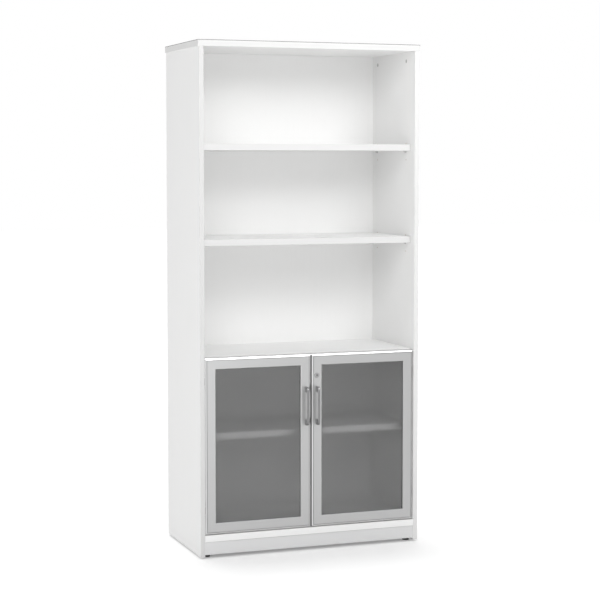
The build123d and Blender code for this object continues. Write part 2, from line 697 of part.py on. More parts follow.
def cupboard_deck():
    """Fixed deck over the cupboard, behind the tops of the doors."""
    panel = board((INNER_LEFT, -INNER_LEFT), (DECK_FRONT, BACK_FRONT), (DECK_UNDER, DECK_TOP))
    seats = catch_seats() + [(-x, y, z) for x, y, z in catch_seats()]
    cuts = [screw_hole(seat, (0, 0, 1), CATCH_SCREW_LENGTH) for seat in seats]
    return rounded_front(panel, Axis.X) - (cuts + [bolt_strike_hole()] + JOINERY_CUTS)


def back_panel():
    """Thin back panel that stands in the grooves."""
    bite = GROOVE_DEPTH - GROOVE_CLEARANCE
    return board(
        (INNER_LEFT - bite, -INNER_LEFT + bite),
        (BACK_FRONT, BACK_REAR),
        (BOTTOM_TOP - bite, SIDE_TOP + bite),
    )


def loose_shelf(under, thickness, setback):
    """Shelf that lies on four pins."""
    half = -INNER_LEFT - SHELF_SIDE_CLEARANCE
    depth = (CASE_FRONT + setback, BACK_FRONT - SHELF_BACK_CLEARANCE)
    return rounded_front(board((-half, half), depth, (under, under + thickness)), Axis.X)


def front_plinth():
    """Front plinth rail, a little behind the case front."""
    across = (INNER_LEFT, -INNER_LEFT)
    rail = board(across, (PLINTH_FACE - PLINTH_THICKNESS, PLINTH_FACE), (PLINTH_FLOOR_GAP, BOTTOM_UNDER))
    return rounded_front(rail, Axis.X) - both_halves([bracket_screws(screw_hole)[1]])


def rear_plinth():
    """Rear plinth rail under the bottom panel."""
    across = (INNER_LEFT, -INNER_LEFT)
    depth = (REAR_PLINTH_FACE, REAR_PLINTH_FACE + PLINTH_THICKNESS)
    rail = board(across, depth, (PLINTH_FLOOR_GAP, BOTTOM_UNDER))
    return rail - quarters(bracket_screws(screw_hole)[1])


# Left door


def frame_member(length):
    """One mitred length of the frame extrusion: X across the face, Y into the door, Z along it."""
    outline = Polyline(
        (0, LIP_DROP),
        (LIP_WIDTH, LIP_STEP),
        (LIP_WIDTH, LINE_DEPTH),
        (LIP_WIDTH + LINE_WIDTH, LINE_DEPTH),
        (LIP_WIDTH + LINE_WIDTH, 0),
        (FRAME_FACE - INNER_CHAMFER, 0),
        (FRAME_FACE, INNER_CHAMFER),
        (FRAME_FACE, SLOT_FRONT),
        (FRAME_FACE - SLOT_DEPTH, SLOT_FRONT),
        (FRAME_FACE - SLOT_DEPTH, SLOT_BACK),
        (FRAME_FACE, SLOT_BACK),
        (FRAME_FACE, SLOT_BACK + FRAME_WALL),
        (FRAME_FACE - SLOT_DEPTH, SLOT_BACK + FRAME_WALL),
        (FRAME_FACE - SLOT_DEPTH, DOOR_THICKNESS),
        (0, DOOR_THICKNESS),
        close=True,
    )
    chamber = Polyline(
        (FRAME_WALL, LIP_DROP + FRAME_WALL),
        (LIP_WIDTH, CHAMBER_FRONT),
        (CHAMBER_END, CHAMBER_FRONT),
        (CHAMBER_END, CHAMBER_BACK),
        (FRAME_WALL, CHAMBER_BACK),
        close=True,
    )
    section = make_face(outline) - make_face(chamber)
    mitre = make_face(
        Polyline((0, 0), (FRAME_FACE, FRAME_FACE), (FRAME_FACE, length - FRAME_FACE), (0, length), close=True)
    )
    return extrude(section, length) & extrude(Plane.XZ * mitre, 2 * DOOR_THICKNESS, both=True)


def handle_seats():
    """Where the two handle screws seat on the back of the left meeting stile."""
    half = HANDLE_CENTRES / 2
    return [(STILE_MIDDLE, DOOR_REAR, HANDLE_LEVEL + step) for step in (-half, half)]


def handle_screw_length():
    """Screw through the stile and into the handle."""
    return DOOR_THICKNESS + HANDLE_SCREW_BITE


def bow(length, reach, bend):
    """Outline from the door face outwards, with both of its front corners rounded."""
    flat = Rectangle(reach, length, align=(Align.MIN, Align.CENTER))
    return fillet(flat.vertices().group_by(Axis.X)[-1], bend)


def handle():
    """Slim bow handle on two deep feet."""
    outer = bow(HANDLE_CENTRES + HANDLE_FOOT, HANDLE_REACH, HANDLE_BEND)
    inner = bow(HANDLE_CENTRES - HANDLE_FOOT, HANDLE_REACH - HANDLE_BAR, HANDLE_INNER_BEND)
    face = Plane((STILE_MIDDLE, DOOR_FRONT, HANDLE_LEVEL), (0, -1, 0), (1, 0, 0))
    body = face.location * extrude(outer - inner, HANDLE_WIDTH / 2, both=True)
    flanks = body.faces().filter_by(Axis.X).edges()
    body = fillet(flanks.filter_by(lambda edge: edge.center().Y < DOOR_FRONT - FIT_CLEARANCE), HANDLE_ROUND)
    cuts = [screw_hole(seat, (0, -1, 0), handle_screw_length()) for seat in handle_seats()]
    return body - cuts


def door_frame():
    """Stiles and rails of the left door, drilled and notched."""
    hinge_side = Plane((DOOR_OUTER, DOOR_FRONT, DOOR_BOTTOM), (1, 0, 0), (0, 0, 1))
    meeting_side = Plane((DOOR_INNER, DOOR_FRONT, DOOR_TOP), (-1, 0, 0), (0, 0, -1))
    low = Plane((DOOR_INNER, DOOR_FRONT, DOOR_BOTTOM), (0, 0, 1), (-1, 0, 0))
    high = Plane((DOOR_OUTER, DOOR_FRONT, DOOR_TOP), (0, 0, -1), (1, 0, 0))
    stile = frame_member(DOOR_HEIGHT)
    rail = frame_member(DOOR_WIDTH)
    cuts = [screw_hole(seat, (0, -1, 0), DOOR_THICKNESS) for seat in handle_seats()]
    return {
        "hinge_stile": hinge_side.location * stile - [hinge_notch(level) for level in HINGE_LEVELS],
        "meeting_stile": meeting_side.location * stile - cuts,
        "bottom_rail": low.location * rail,
        "top_rail": high.location * rail,
    }


def corner_cleats():
    """Angle pieces inside the four mitres."""
    near = FRAME_WALL + CLEAT_CLEARANCE
    far = CHAMBER_END - CLEAT_CLEARANCE
    outline = make_face(
        Polyline(
            (near, near),
            (CLEAT_LEG, near),
            (CLEAT_LEG, far),
            (far, far),
            (far, CLEAT_LEG),
            (near, CLEAT_LEG),
            close=True,
        )
    )
    front = LIP_DROP + FRAME_WALL + CLEAT_CLEARANCE
    rear = CHAMBER_BACK - CLEAT_CLEARANCE
    corner = Plane((DOOR_OUTER, DOOR_FRONT + rear, DOOR_BOTTOM), (1, 0, 0), (0, -1, 0))
    first = corner.location * extrude(outline, rear - front)
    upright = Plane((DOOR_OUTER + DOOR_WIDTH / 2, 0, 0), (0, 1, 0), (1, 0, 0))
    level = Plane((0, 0, DOOR_BOTTOM + DOOR_HEIGHT / 2), (1, 0, 0), (0, 0, 1))
    lower = [first, mirror(first, upright)]
    return lower + [mirror(cleat, level) for cleat in lower]


def pane(margin, front, rear):
    """Board that reaches past the frame opening by a margin, between two depths in the door."""
    edge = FRAME_FACE - margin
    return board(
        (DOOR_OUTER + edge, DOOR_INNER - edge),
        (DOOR_FRONT + front, DOOR_FRONT + rear),
        (DOOR_BOTTOM + edge, DOOR_TOP - edge),
    )


def glass():
    """Tinted glass that sits in the slot of the frame."""
    return pane(GLASS_BITE, SLOT_FRONT + GASKET_WALL, SLOT_BACK - GASKET_WALL)


def gasket():
    """Channel-shaped seal round the edge of the glass."""
    ring = pane(SLOT_DEPTH - CLEAT_CLEARANCE, SLOT_FRONT, SLOT_BACK)
    return ring - pane(-GASKET_LIP, SLOT_FRONT, SLOT_BACK) - glass()


# Cam lock of the right door


def lock_place(depth):
    """Point on the lock axis at a depth behind the door face."""
    return (-STILE_MIDDLE, DOOR_FRONT + depth, LOCK_LEVEL)


def lock_housing():
    """Bezel and body of the lock, bored for the plug."""
    tail = DOOR_THICKNESS + LOCK_BODY_TAIL
    bore = LOCK_PLUG_RADIUS + LOCK_RUNNING_CLEARANCE
    outline = (
        (bore, -LOCK_BEZEL_HEIGHT),
        (LOCK_BEZEL_RADIUS - LOCK_BEZEL_CHAMFER, -LOCK_BEZEL_HEIGHT),
        (LOCK_BEZEL_RADIUS, -LOCK_BEZEL_HEIGHT + LOCK_BEZEL_CHAMFER),
        (LOCK_BEZEL_RADIUS, 0),
        (LOCK_BODY_RADIUS, 0),
        (LOCK_BODY_RADIUS, tail),
        (bore, tail),
    )
    return turned(outline, lock_place(0), (0, 1, 0))


def lock_hole():
    """Hole for the lock body through the right meeting stile."""
    return rod(lock_place(0), (0, 1, 0), DOOR_THICKNESS, LOCK_BODY_RADIUS + FIT_CLEARANCE)


def lock_nut():
    """Hexagon nut that clamps the lock to the stile."""
    flat = RegularPolygon(LOCK_NUT_ACROSS_FLATS / 2, 6, major_radius=False)
    ring = flat - Circle(LOCK_BODY_RADIUS + FIT_CLEARANCE)
    return Plane(lock_place(DOOR_THICKNESS), z_dir=(0, 1, 0)).location * extrude(ring, LOCK_NUT_THICKNESS)


def lock_cam_front():
    """Depth of the front of the cam behind the door face."""
    return DOOR_THICKNESS + LOCK_BODY_TAIL + LOCK_CAM_GAP


def lock_plug():
    """Turning plug with a key slot in front and a square tail for the cam."""
    start = -LOCK_BEZEL_HEIGHT - LOCK_PLUG_PROUD
    barrel = rod(lock_place(start), (0, 1, 0), lock_cam_front() - start, LOCK_PLUG_RADIUS)
    tail_face = Plane(lock_place(lock_cam_front()), (1, 0, 0), (0, 1, 0)).location
    tail = tail_face * extrude(Rectangle(LOCK_SQUARE, LOCK_SQUARE), LOCK_CAM_THICKNESS)
    slot = Pos(*lock_place(start)) * Box(KEY_SLOT_WIDTH, 2 * KEY_SLOT_DEPTH, KEY_SLOT_HEIGHT)
    tapped = lock_place(lock_cam_front() + LOCK_CAM_THICKNESS)
    return barrel + tail - slot - screw_hole(tapped, (0, -1, 0), LOCK_SCREW_BITE)


def lock_cam():
    """Flat cam that hangs down when the door is unlocked."""
    reach = LOCK_CAM_LENGTH - LOCK_CAM_WIDTH / 2
    outline = Pos(reach / 2, 0) * SlotCenterToCenter(reach, LOCK_CAM_WIDTH)
    hole = Rectangle(LOCK_SQUARE + FIT_CLEARANCE, LOCK_SQUARE + FIT_CLEARANCE)
    place = Plane(lock_place(lock_cam_front()), (0, 0, -1), (0, 1, 0)).location
    return place * extrude(outline - hole, LOCK_CAM_THICKNESS)


def lock_cam_screw():
    """Screw that holds the cam on the plug, with a head wider than the square."""
    return screw(lock_place(lock_cam_front() + LOCK_CAM_THICKNESS), (0, -1, 0), LOCK_SCREW_BITE)


# Assembly


def carcass_nodes():
    """Panels, shelves and fittings that stand still."""
    hinge_screws = [
        screw(seat, (-1, 0, 0), HINGE_SCREW_LENGTH) for level in HINGE_LEVELS for seat in hinge_seats(level)
    ]
    catch_screws = [screw(seat, (0, 0, 1), CATCH_SCREW_LENGTH) for seat in catch_seats()]
    arms = [hinge_arm(level) for level in HINGE_LEVELS]
    left = side_panel()
    return {
        "left_side_panel": left,
        "right_side_panel": mirrored(left),
        "top_panel": top_panel(),
        "bottom_panel": bottom_panel(),
        "cupboard_deck": cupboard_deck(),
        "back_panel": back_panel(),
        "upper_shelf": loose_shelf(UPPER_UNDER, SHELF_THICKNESS, SHELF_SETBACK),
        "middle_shelf": loose_shelf(MIDDLE_UNDER, SHELF_THICKNESS, SHELF_SETBACK),
        "cupboard_shelf": loose_shelf(CUPBOARD_UNDER, CUPBOARD_SHELF_THICKNESS, CUPBOARD_SHELF_SETBACK),
        "front_plinth": front_plinth(),
        "rear_plinth": rear_plinth(),
        "shelf_pins": both_halves([shelf_pin(y, z) for y, z in pin_places()]),
        "connector_cams": [plane.location * cam(depth) for plane, depth in CONNECTORS],
        "connector_bolts": [plane.location * connector_bolt(depth) for plane, depth in CONNECTORS],
        "panel_dowels": [plane.location * dowel(depth) for plane, depth in DOWELS],
        "corner_brackets": quarters(corner_bracket()),
        "bracket_screws": [s for one in bracket_screws(screw) for s in quarters(one)],
        "left_hinge_arms": arms,
        "right_hinge_arms": [mirrored(arm) for arm in arms],
        "hinge_screws": both_halves(hinge_screws),
        "magnetic_catches": both_halves([magnetic_catch()]),
        "catch_screws": both_halves(catch_screws),
    }


def left_door_nodes():
    """Pieces that both doors have, as they stand in the left door."""
    length = handle_screw_length()
    nodes = door_frame()
    nodes["corner_cleats"] = corner_cleats()
    nodes["glass"] = glass()
    nodes["gasket"] = gasket()
    nodes["handle"] = handle()
    nodes["handle_screws"] = [screw(seat, (0, -1, 0), length) for seat in handle_seats()]
    nodes["hinge_knuckles"] = [hinge_knuckle(level) for level in HINGE_LEVELS]
    nodes["hinge_pins"] = [hinge_pin(level) for level in HINGE_LEVELS]
    nodes["strike_plate"] = strike_plate()
    return nodes


def door_nodes():
    """Both doors, with the bolt on the left one and the lock in the right one."""
    shared = left_door_nodes()
    nodes = {}
    for name, made in shared.items():
        pieces = made if isinstance(made, list) else [made]
        nodes["left_" + name] = pieces
        nodes["right_" + name] = [mirrored(piece) for piece in pieces]
    guide_holes = [screw_hole(seat, (0, -1, 0), GUIDE_SCREW_LENGTH) for seat in guide_seats()]
    nodes["left_meeting_stile"] = [nodes["left_meeting_stile"][0] - guide_holes]
    nodes["right_meeting_stile"] = [nodes["right_meeting_stile"][0] - lock_hole()]
    nodes["bolt_guide"] = bolt_guide()
    nodes["bolt_guide_screws"] = [screw(seat, (0, -1, 0), GUIDE_SCREW_LENGTH) for seat in guide_seats()]
    nodes["door_bolt"] = door_bolt()
    nodes["lock_housing"] = lock_housing()
    nodes["lock_nut"] = lock_nut()
    nodes["lock_plug"] = lock_plug()
    nodes["lock_cam"] = lock_cam()
    nodes["lock_cam_screw"] = lock_cam_screw()
    return nodes


def foot_nodes():
    """Four levelling feet."""
    names = ("front_left_foot", "rear_left_foot", "front_right_foot", "rear_right_foot")
    return dict(zip(names, quarters(levelling_foot())))


def solids_of(made):
    """All solids of one node."""
    pieces = made if isinstance(made, list) else [made]
    return [solid for piece in pieces for solid in piece.solids()]


os.makedirs("parts", exist_ok=True)
for node, made in {**carcass_nodes(), **door_nodes(), **foot_nodes()}.items():
    solids = solids_of(made)
    export_step(solids[0] if len(solids) == 1 else Compound(solids), f"parts/{node}.step")
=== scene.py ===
"""Tall white office bookcase: the finishes, fasteners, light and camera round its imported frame."""

import json
import logging
import math
from collections.abc import Iterable
from dataclasses import dataclass, field
from enum import Enum
from typing import TypeAlias

import bpy
import numpy as np
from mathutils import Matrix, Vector

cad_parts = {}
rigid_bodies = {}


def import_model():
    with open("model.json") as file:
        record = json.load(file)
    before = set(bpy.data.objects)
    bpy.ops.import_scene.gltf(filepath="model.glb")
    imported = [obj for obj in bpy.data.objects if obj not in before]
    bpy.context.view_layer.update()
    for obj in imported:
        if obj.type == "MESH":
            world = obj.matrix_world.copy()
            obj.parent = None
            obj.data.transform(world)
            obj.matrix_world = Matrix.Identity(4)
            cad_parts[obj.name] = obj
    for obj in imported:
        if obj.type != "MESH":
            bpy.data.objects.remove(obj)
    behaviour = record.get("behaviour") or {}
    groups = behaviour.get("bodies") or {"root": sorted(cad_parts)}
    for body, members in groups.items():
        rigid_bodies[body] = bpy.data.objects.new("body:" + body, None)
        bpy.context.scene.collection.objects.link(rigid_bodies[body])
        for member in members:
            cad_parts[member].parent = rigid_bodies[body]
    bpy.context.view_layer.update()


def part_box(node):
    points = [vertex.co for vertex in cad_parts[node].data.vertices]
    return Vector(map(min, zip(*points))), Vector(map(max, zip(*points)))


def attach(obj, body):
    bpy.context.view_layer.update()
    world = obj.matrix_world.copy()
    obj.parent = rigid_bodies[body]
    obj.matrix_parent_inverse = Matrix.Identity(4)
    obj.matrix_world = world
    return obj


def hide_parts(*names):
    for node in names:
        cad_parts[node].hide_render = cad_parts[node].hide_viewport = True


LOG = logging.getLogger("bookcase")
MM = 0.001

Triple: TypeAlias = tuple[float, float, float]
Colour: TypeAlias = Triple
Number: TypeAlias = "Link | float"

BLACK: Colour = (0.0, 0.0, 0.0)
WHITE: Colour = (1.0, 1.0, 1.0)


class Axis(Enum):
    """A direction of the frame, by its place in a vector."""

    X = 0
    Y = 1
    Z = 2


class Side(Enum):
    """A door, by the side of the case on which it hangs."""

    LEFT = "left"
    RIGHT = "right"


# Node trees


def find_socket(sockets: Iterable[bpy.types.NodeSocket], key: int | str) -> bpy.types.NodeSocket:
    """Finds a socket by its place, its identifier or its name.

    Args:
        sockets: the inputs or the outputs of a node.
        key: the place, identifier or name of one of them.

    Returns:
        The socket.
    """
    found = list(sockets)
    if isinstance(key, int):
        return found[key]
    for socket in found:
        if socket.identifier == key:
            return socket
    return next(socket for socket in found if socket.name == key)


class Link:
    """An output socket of a node tree that takes part in Python arithmetic."""

    def __init__(self, tree: "NodeTree", socket: bpy.types.NodeSocket) -> None:
        """Keeps the tree and the socket."""
        self.tree = tree
        self.socket = socket

    def _math(self, operation: str, *values: Number) -> "Link":
        """Adds one Math node on the given values."""
        return self.tree.add("ShaderNodeMath", {"operation": operation}, dict(enumerate(values)))

    def __add__(self, other: Number) -> "Link":
        """Sum."""
        return self._math("ADD", self, other)

    def __sub__(self, other: Number) -> "Link":
        """Difference."""
        return self._math("SUBTRACT", self, other)

    def __rsub__(self, other: Number) -> "Link":
        """Difference, this one taken away."""
        return self._math("SUBTRACT", other, self)

    def __mul__(self, other: Number) -> "Link":
        """Product."""
        return self._math("MULTIPLY", self, other)

    __radd__ = __add__
    __rmul__ = __mul__

    def __abs__(self) -> "Link":
        """Size without its sign."""
        return self._math("ABSOLUTE", self)

    def at_most(self, other: Number) -> "Link":
        """The smaller of two values."""
        return self._math("MINIMUM", self, other)

    def at_least(self, other: Number) -> "Link":
        """The larger of two values."""
        return self._math("MAXIMUM", self, other)

    def swing(self, size: float) -> "Link":
        """Noise from 0 to 1 as a swing of this size about 0."""
        return (self - 0.5) * size

    def rise(self, low: float, high: float) -> "Link":
        """Smooth step from 0 at the low value to 1 at the high one.

        Args:
            low: where the step starts.
            high: where the step ends.

        Returns:
            A mask from 0 to 1.
        """
        settings = {"interpolation_type": "SMOOTHSTEP"}
        return self.tree.add("ShaderNodeMapRange", settings, {"Value": self, 1: low, 2: high})


class NodeTree:
    """A node tree that is written as expressions."""

    def __init__(self, tree: bpy.types.NodeTree) -> None:
        """Empties the tree and keeps it."""
        self.tree = tree
        self.tree.nodes.clear()

    def add(
        self,
        kind: str,
        settings: dict[str, object] | None = None,
        inputs: dict[int | str, object] | None = None,
        output: int | str = 0,
    ) -> Link | None:
        """Adds one node.

        Args:
            kind: the node's type.
            settings: the node's own settings, which are set first.
            inputs: values, links, or lists of links of its sockets.
            output: the output that is returned.

        Returns:
            The output, or nothing where the node has none.
        """
        node = self.tree.nodes.new(kind)
        for name, value in (settings or {}).items():
            setattr(node, name, value)
        for key, value in (inputs or {}).items():
            socket = find_socket(node.inputs, key)
            for one in value if isinstance(value, list) else [value]:
                if isinstance(one, Link):
                    self.tree.links.new(one.socket, socket)
                else:
                    socket.default_value = one
        return Link(self, find_socket(node.outputs, output)) if len(node.outputs) else None

    def siblings(self, link: Link) -> dict[str, Link]:
        """Every output of a link's node, by name."""
        return {socket.name: Link(self, socket) for socket in link.socket.node.outputs}


@dataclass(frozen=True)
class Noise:
    """Soft noise: its features per metre, its finer layers and how much those weigh."""

    scale: float = 1.0
    detail: float = 2.0
    rough: float = 0.5


class ShaderTree(NodeTree):
    """The node tree of a material or of the surroundings."""

    def place(self) -> Link:
        """Place of a point in the frame, in metres."""
        return self.add("ShaderNodeTexCoord", output="Object")

    def split(self, vector: Link) -> tuple[Link, ...]:
        """Three numbers of a vector."""
        return tuple(self.siblings(self.add("ShaderNodeSeparateXYZ", inputs={0: vector})).values())

    def scaled(self, vector: Link, scale: Triple) -> Link:
        """Vector with its own scale on each axis."""
        return self.add("ShaderNodeMapping", inputs={"Vector": vector, "Scale": scale})

    def drawn_out(self, vector: Link, axis: Axis, lengthwise: float, across: float) -> Link:
        """Vector on which a pattern is drawn out along an axis.

        Args:
            vector: the plain vector.
            axis: the direction of the grain.
            lengthwise: features per metre along it.
            across: features per metre across it.

        Returns:
            The scaled vector.
        """
        return self.scaled(vector, tuple(lengthwise if axis is one else across for one in Axis))

    def noise(self, vector: Link, kind: Noise) -> Link:
        """Soft noise from 0 to 1.

        Args:
            vector: where it is read.
            kind: how fine and how rough it is.

        Returns:
            The noise.
        """
        layers = {"Scale": kind.scale, "Detail": kind.detail, "Roughness": kind.rough}
        return self.add("ShaderNodeTexNoise", inputs={"Vector": vector, **layers})

    def blend(self, mask: Number, first: "Link | Colour", second: "Link | Colour") -> Link:
        """Mix of two colours.

        Args:
            mask: 0 for the first colour, 1 for the second.
            first: a colour or a link.
            second: a colour or a link.

        Returns:
            The mixed colour.
        """
        ends = [end if isinstance(end, Link) else (*end, 1.0) for end in (first, second)]
        inputs = {"Factor_Float": mask, "A_Color": ends[0], "B_Color": ends[1]}
        return self.add("ShaderNodeMix", {"data_type": "RGBA"}, inputs, "Result_Color")

    def bump(self, height: Link, depth: float, strength: float) -> Link:
        """Normal of a surface with fine relief.

        Args:
            height: relief from 0 to 1.
            depth: what 1 stands for, in metres.
            strength: how much of it shows.

        Returns:
            The normal.
        """
        inputs = {"Strength": strength, "Distance": depth, "Height": height}
        return self.add("ShaderNodeBump", inputs=inputs)

    def principled(self, inputs: dict[int | str, object]) -> None:
        """Ends the tree in one Principled shader with these inputs."""
        shader = self.add("ShaderNodeBsdfPrincipled", inputs=inputs)
        self.add("ShaderNodeOutputMaterial", inputs={"Surface": shader})


class GeometryTree(NodeTree):
    """A Geometry Nodes tree with named inputs."""

    def __init__(self, name: str, inputs: dict[str, str]) -> None:
        """Makes the tree with its inputs.

        Args:
            name: the tree's name.
            inputs: the socket type of each named input.
        """
        super().__init__(bpy.data.node_groups.new(name, "GeometryNodeTree"))
        face = self.tree.interface
        self.identifiers: dict[str, str] = {}
        for label, kind in inputs.items():
            socket = face.new_socket(label, in_out="INPUT", socket_type=kind)
            self.identifiers[label] = socket.identifier
        face.new_socket("Geometry", in_out="OUTPUT", socket_type="NodeSocketGeometry")
        self.source = self.tree.nodes.new("NodeGroupInput")

    def given(self, label: str) -> Link:
        """Value of a named input."""
        return Link(self, find_socket(self.source.outputs, label))

    def vector(self, x: Number, y: Number, z: Number) -> Link:
        """Vector of three values or links."""
        return self.add("ShaderNodeCombineXYZ", inputs={0: x, 1: y, 2: z})

    def moved(self, shape: Link, z: Number) -> Link:
        """A shape that is moved along Z."""
        inputs = {"Geometry": shape, "Translation": self.vector(0.0, 0.0, z)}
        return self.add("GeometryNodeTransform", inputs=inputs)

    def attribute(self, name: str, kind: str) -> Link:
        """A named attribute of the points."""
        settings = {"data_type": kind}
        return self.add("GeometryNodeInputNamedAttribute", settings, {"Name": name}, "Attribute")

    def close(self, shape: Link, finish: Link) -> None:
        """Realises the instances, gives them their finish and ends the tree.

        Args:
            shape: the geometry.
            finish: the material input.
        """
        real = self.add("GeometryNodeRealizeInstances", inputs={"Geometry": shape})
        inputs = {"Geometry": real, "Material": finish}
        dressed = self.add("GeometryNodeSetMaterial", inputs=inputs)
        self.add("NodeGroupOutput", inputs={"Geometry": dressed})


def new_material(name: str) -> tuple[bpy.types.Material, ShaderTree]:
    """Makes an empty node material.

    Args:
        name: the name of the finish.

    Returns:
        The material and its tree.
    """
    material = bpy.data.materials.new(name)
    material.use_nodes = True
    return material, ShaderTree(material.node_tree)


# Finishes


@dataclass(frozen=True)
class BoardFinish:
    """Melamine-faced board: faint grain, banded edges darkened partly by painted shade, bare chips
    wherever it is cut into.
    """

    name: str
    low: Vector
    high: Vector
    grain: Axis
    colour: Colour = (0.88, 0.88, 0.876)
    metallic: float = 0.0
    roughness: float = 0.52
    fibres: Noise = Noise(detail=5.0, rough=0.6)
    fibres_along: float = 2.2
    fibres_across: float = 120.0
    clouds: Noise = Noise(7.0, 3.0)
    peel: Noise = Noise(1500.0)
    grain_tone: float = 0.035
    cloud_tone: float = 0.02
    grain_rough: float = 0.08
    cloud_rough: float = 0.12
    relief: float = 0.06 * MM
    relief_shown: float = 0.5
    face_relief: float = 0.35
    chip_flakes: Noise = Noise(detail=4.0, rough=0.7)
    chip_pitch: Triple = (260.0, 260.0, 420.0)
    chip_range: tuple[float, float] = (0.35, 0.65)
    chip_pale: Colour = (0.56, 0.40, 0.24)
    chip_dark: Colour = (0.33, 0.21, 0.11)
    chip_crumbs: Noise = Noise(900.0, 3.0)
    chip_rough: float = 0.4
    chip_relief: float = 3.0
    skin: float = 0.45 * MM
    skin_fade: float = 0.15 * MM
    band: float = 1.0 * MM
    band_tone_and_shade: float = 0.0  # this and the other tones are shares of the colour that go; on the edge bands they are partly the bands' own tone and partly painted shade
    end_tone_and_shade: float = 0.0
    # a thin darker line just under the top face of the board, along its edges
    top_line_tone: float = 0.0
    top_line_depth: float = 1.1 * MM
    top_line_half: float = 0.9 * MM
    seam: float = 0.12 * MM
    seam_tone: float = 0.12

    def material(self) -> bpy.types.Material:
        """Builds the material.

        Returns:
            The material of one board.
        """
        material, tree = new_material(self.name)
        place = tree.place()
        drawn = tree.drawn_out(place, self.grain, self.fibres_along, self.fibres_across)
        fibres = tree.noise(drawn, self.fibres)
        clouds = tree.noise(place, self.clouds)
        peel = tree.noise(place, self.peel)
        crumbs = tree.noise(place, self.chip_crumbs)
        cut = self.cut_mask(tree, place)
        # darker edge bands, partly painted shade, with the dark joint and the thin top line
        edge = self.edge_tone_and_shade(tree, place)
        shade = fibres.swing(self.grain_tone) + clouds.swing(self.cloud_tone) + edge
        face = tree.blend(shade.at_least(0.0), self.colour, BLACK)
        rough = self.roughness + clouds.swing(self.cloud_rough) + fibres.swing(self.grain_rough)
        relief = peel * self.face_relief + fibres * self.face_relief
        relief = relief + cut * crumbs * self.chip_relief
        inputs = {
            "Base Color": tree.blend(cut, face, self.chips(tree, place)),
            "Roughness": rough + cut * self.chip_rough,
            "Metallic": self.metallic,
            "Normal": tree.bump(relief, self.relief, self.relief_shown),
        }
        tree.principled(inputs)
        return material

    def cut_mask(self, tree: ShaderTree, place: Link) -> Link:
        """1 inside holes and grooves, which lie deeper than the skin of the board.

        Args:
            tree: the tree of the material.
            place: place of the point.

        Returns:
            The mask.
        """
        depth = None
        for value, low, high in zip(tree.split(place), self.low, self.high):
            near = (value - low).at_most(high - value)
            depth = near if depth is None else depth.at_most(near)
        return depth.rise(self.skin, self.skin + self.skin_fade)

    def edge_tone_and_shade(self, tree: ShaderTree, place: Link) -> Link:
        """How much darker the bands on the edges (partly their own tone, partly painted shade), the
        fine joint behind the front one and the thin line under the top face are.

        Args:
            tree: the tree of the material.
            place: place of the point.

        Returns:
            The share of the colour that goes.
        """
        x, y, z = tree.split(place)
        front = y - self.low.y
        joint = 1.0 - abs(front - self.band).rise(self.seam, 2 * self.seam)
        # the edge band's darkening is partly its own tone and partly painted shade
        tone = (joint * self.seam_tone).at_least(self.on_band(front) * self.band_tone_and_shade)
        if self.end_tone_and_shade:
            end = (x - self.low.x).at_most(self.high.x - x)
            tone = tone.at_least(self.on_band(end) * self.end_tone_and_shade)
        # a thin darker line just under the top face
        if self.top_line_tone:
            off_top_line = abs(self.high.z - z - self.top_line_depth)
            top_line = 1.0 - off_top_line.rise(self.top_line_half, self.top_line_half + self.seam)
            tone = tone.at_least(top_line * self.top_line_tone)
        return tone

    def on_band(self, depth: Link) -> Link:
        """1 within the thickness of an edge band, and 0 behind it."""
        return 1.0 - depth.rise(self.band - self.seam, self.band)

    def chips(self, tree: ShaderTree, place: Link) -> Link:
        """Colour of pressed wood chips."""
        flakes = tree.noise(tree.scaled(place, self.chip_pitch), self.chip_flakes)
        return tree.blend(flakes.rise(*self.chip_range), self.chip_dark, self.chip_pale)


@dataclass(frozen=True)
class MetalFinish:
    """Metal with fine brushing along one axis and a few rubbed patches."""

    name: str
    colour: Colour
    roughness: float
    brush: Axis
    lines: Noise = Noise(detail=3.0)
    lines_along: float = 6.0
    lines_across: float = 1400.0
    patches: Noise = Noise(9.0, 3.0)
    brush_from: float = 0.35
    brush_tone: float = 0.32
    brush_dark: float = 0.72
    brush_rough: float = 0.12
    patch_tone: float = 0.15
    patch_rough: float = 0.08
    relief: float = 0.02 * MM
    relief_shown: float = 0.4

    def material(self) -> bpy.types.Material:
        """Builds the material.

        Returns:
            The brushed metal.
        """
        material, tree = new_material(self.name)
        place = tree.place()
        drawn = tree.drawn_out(place, self.brush, self.lines_along, self.lines_across)
        lines = tree.noise(drawn, self.lines)
        patches = tree.noise(place, self.patches)
        tone = (lines - self.brush_from) * self.brush_tone + patches.swing(self.patch_tone)
        dark = tuple(self.brush_dark * value for value in self.colour)
        brushed = tree.blend(tone.at_least(0.0), self.colour, dark)
        inputs = {
            "Base Color": self.tinted(tree, place, brushed),
            "Roughness": (
                self.roughness + lines.swing(self.brush_rough) + patches.swing(self.patch_rough)
            ),
            "Metallic": 1.0,
            "Normal": tree.bump(lines, self.relief, self.relief_shown),
        }
        tree.principled(inputs)
        return material

    def tinted(self, tree: ShaderTree, place: Link, brushed: Link) -> Link:
        """The brushed colour as it is."""
        return brushed


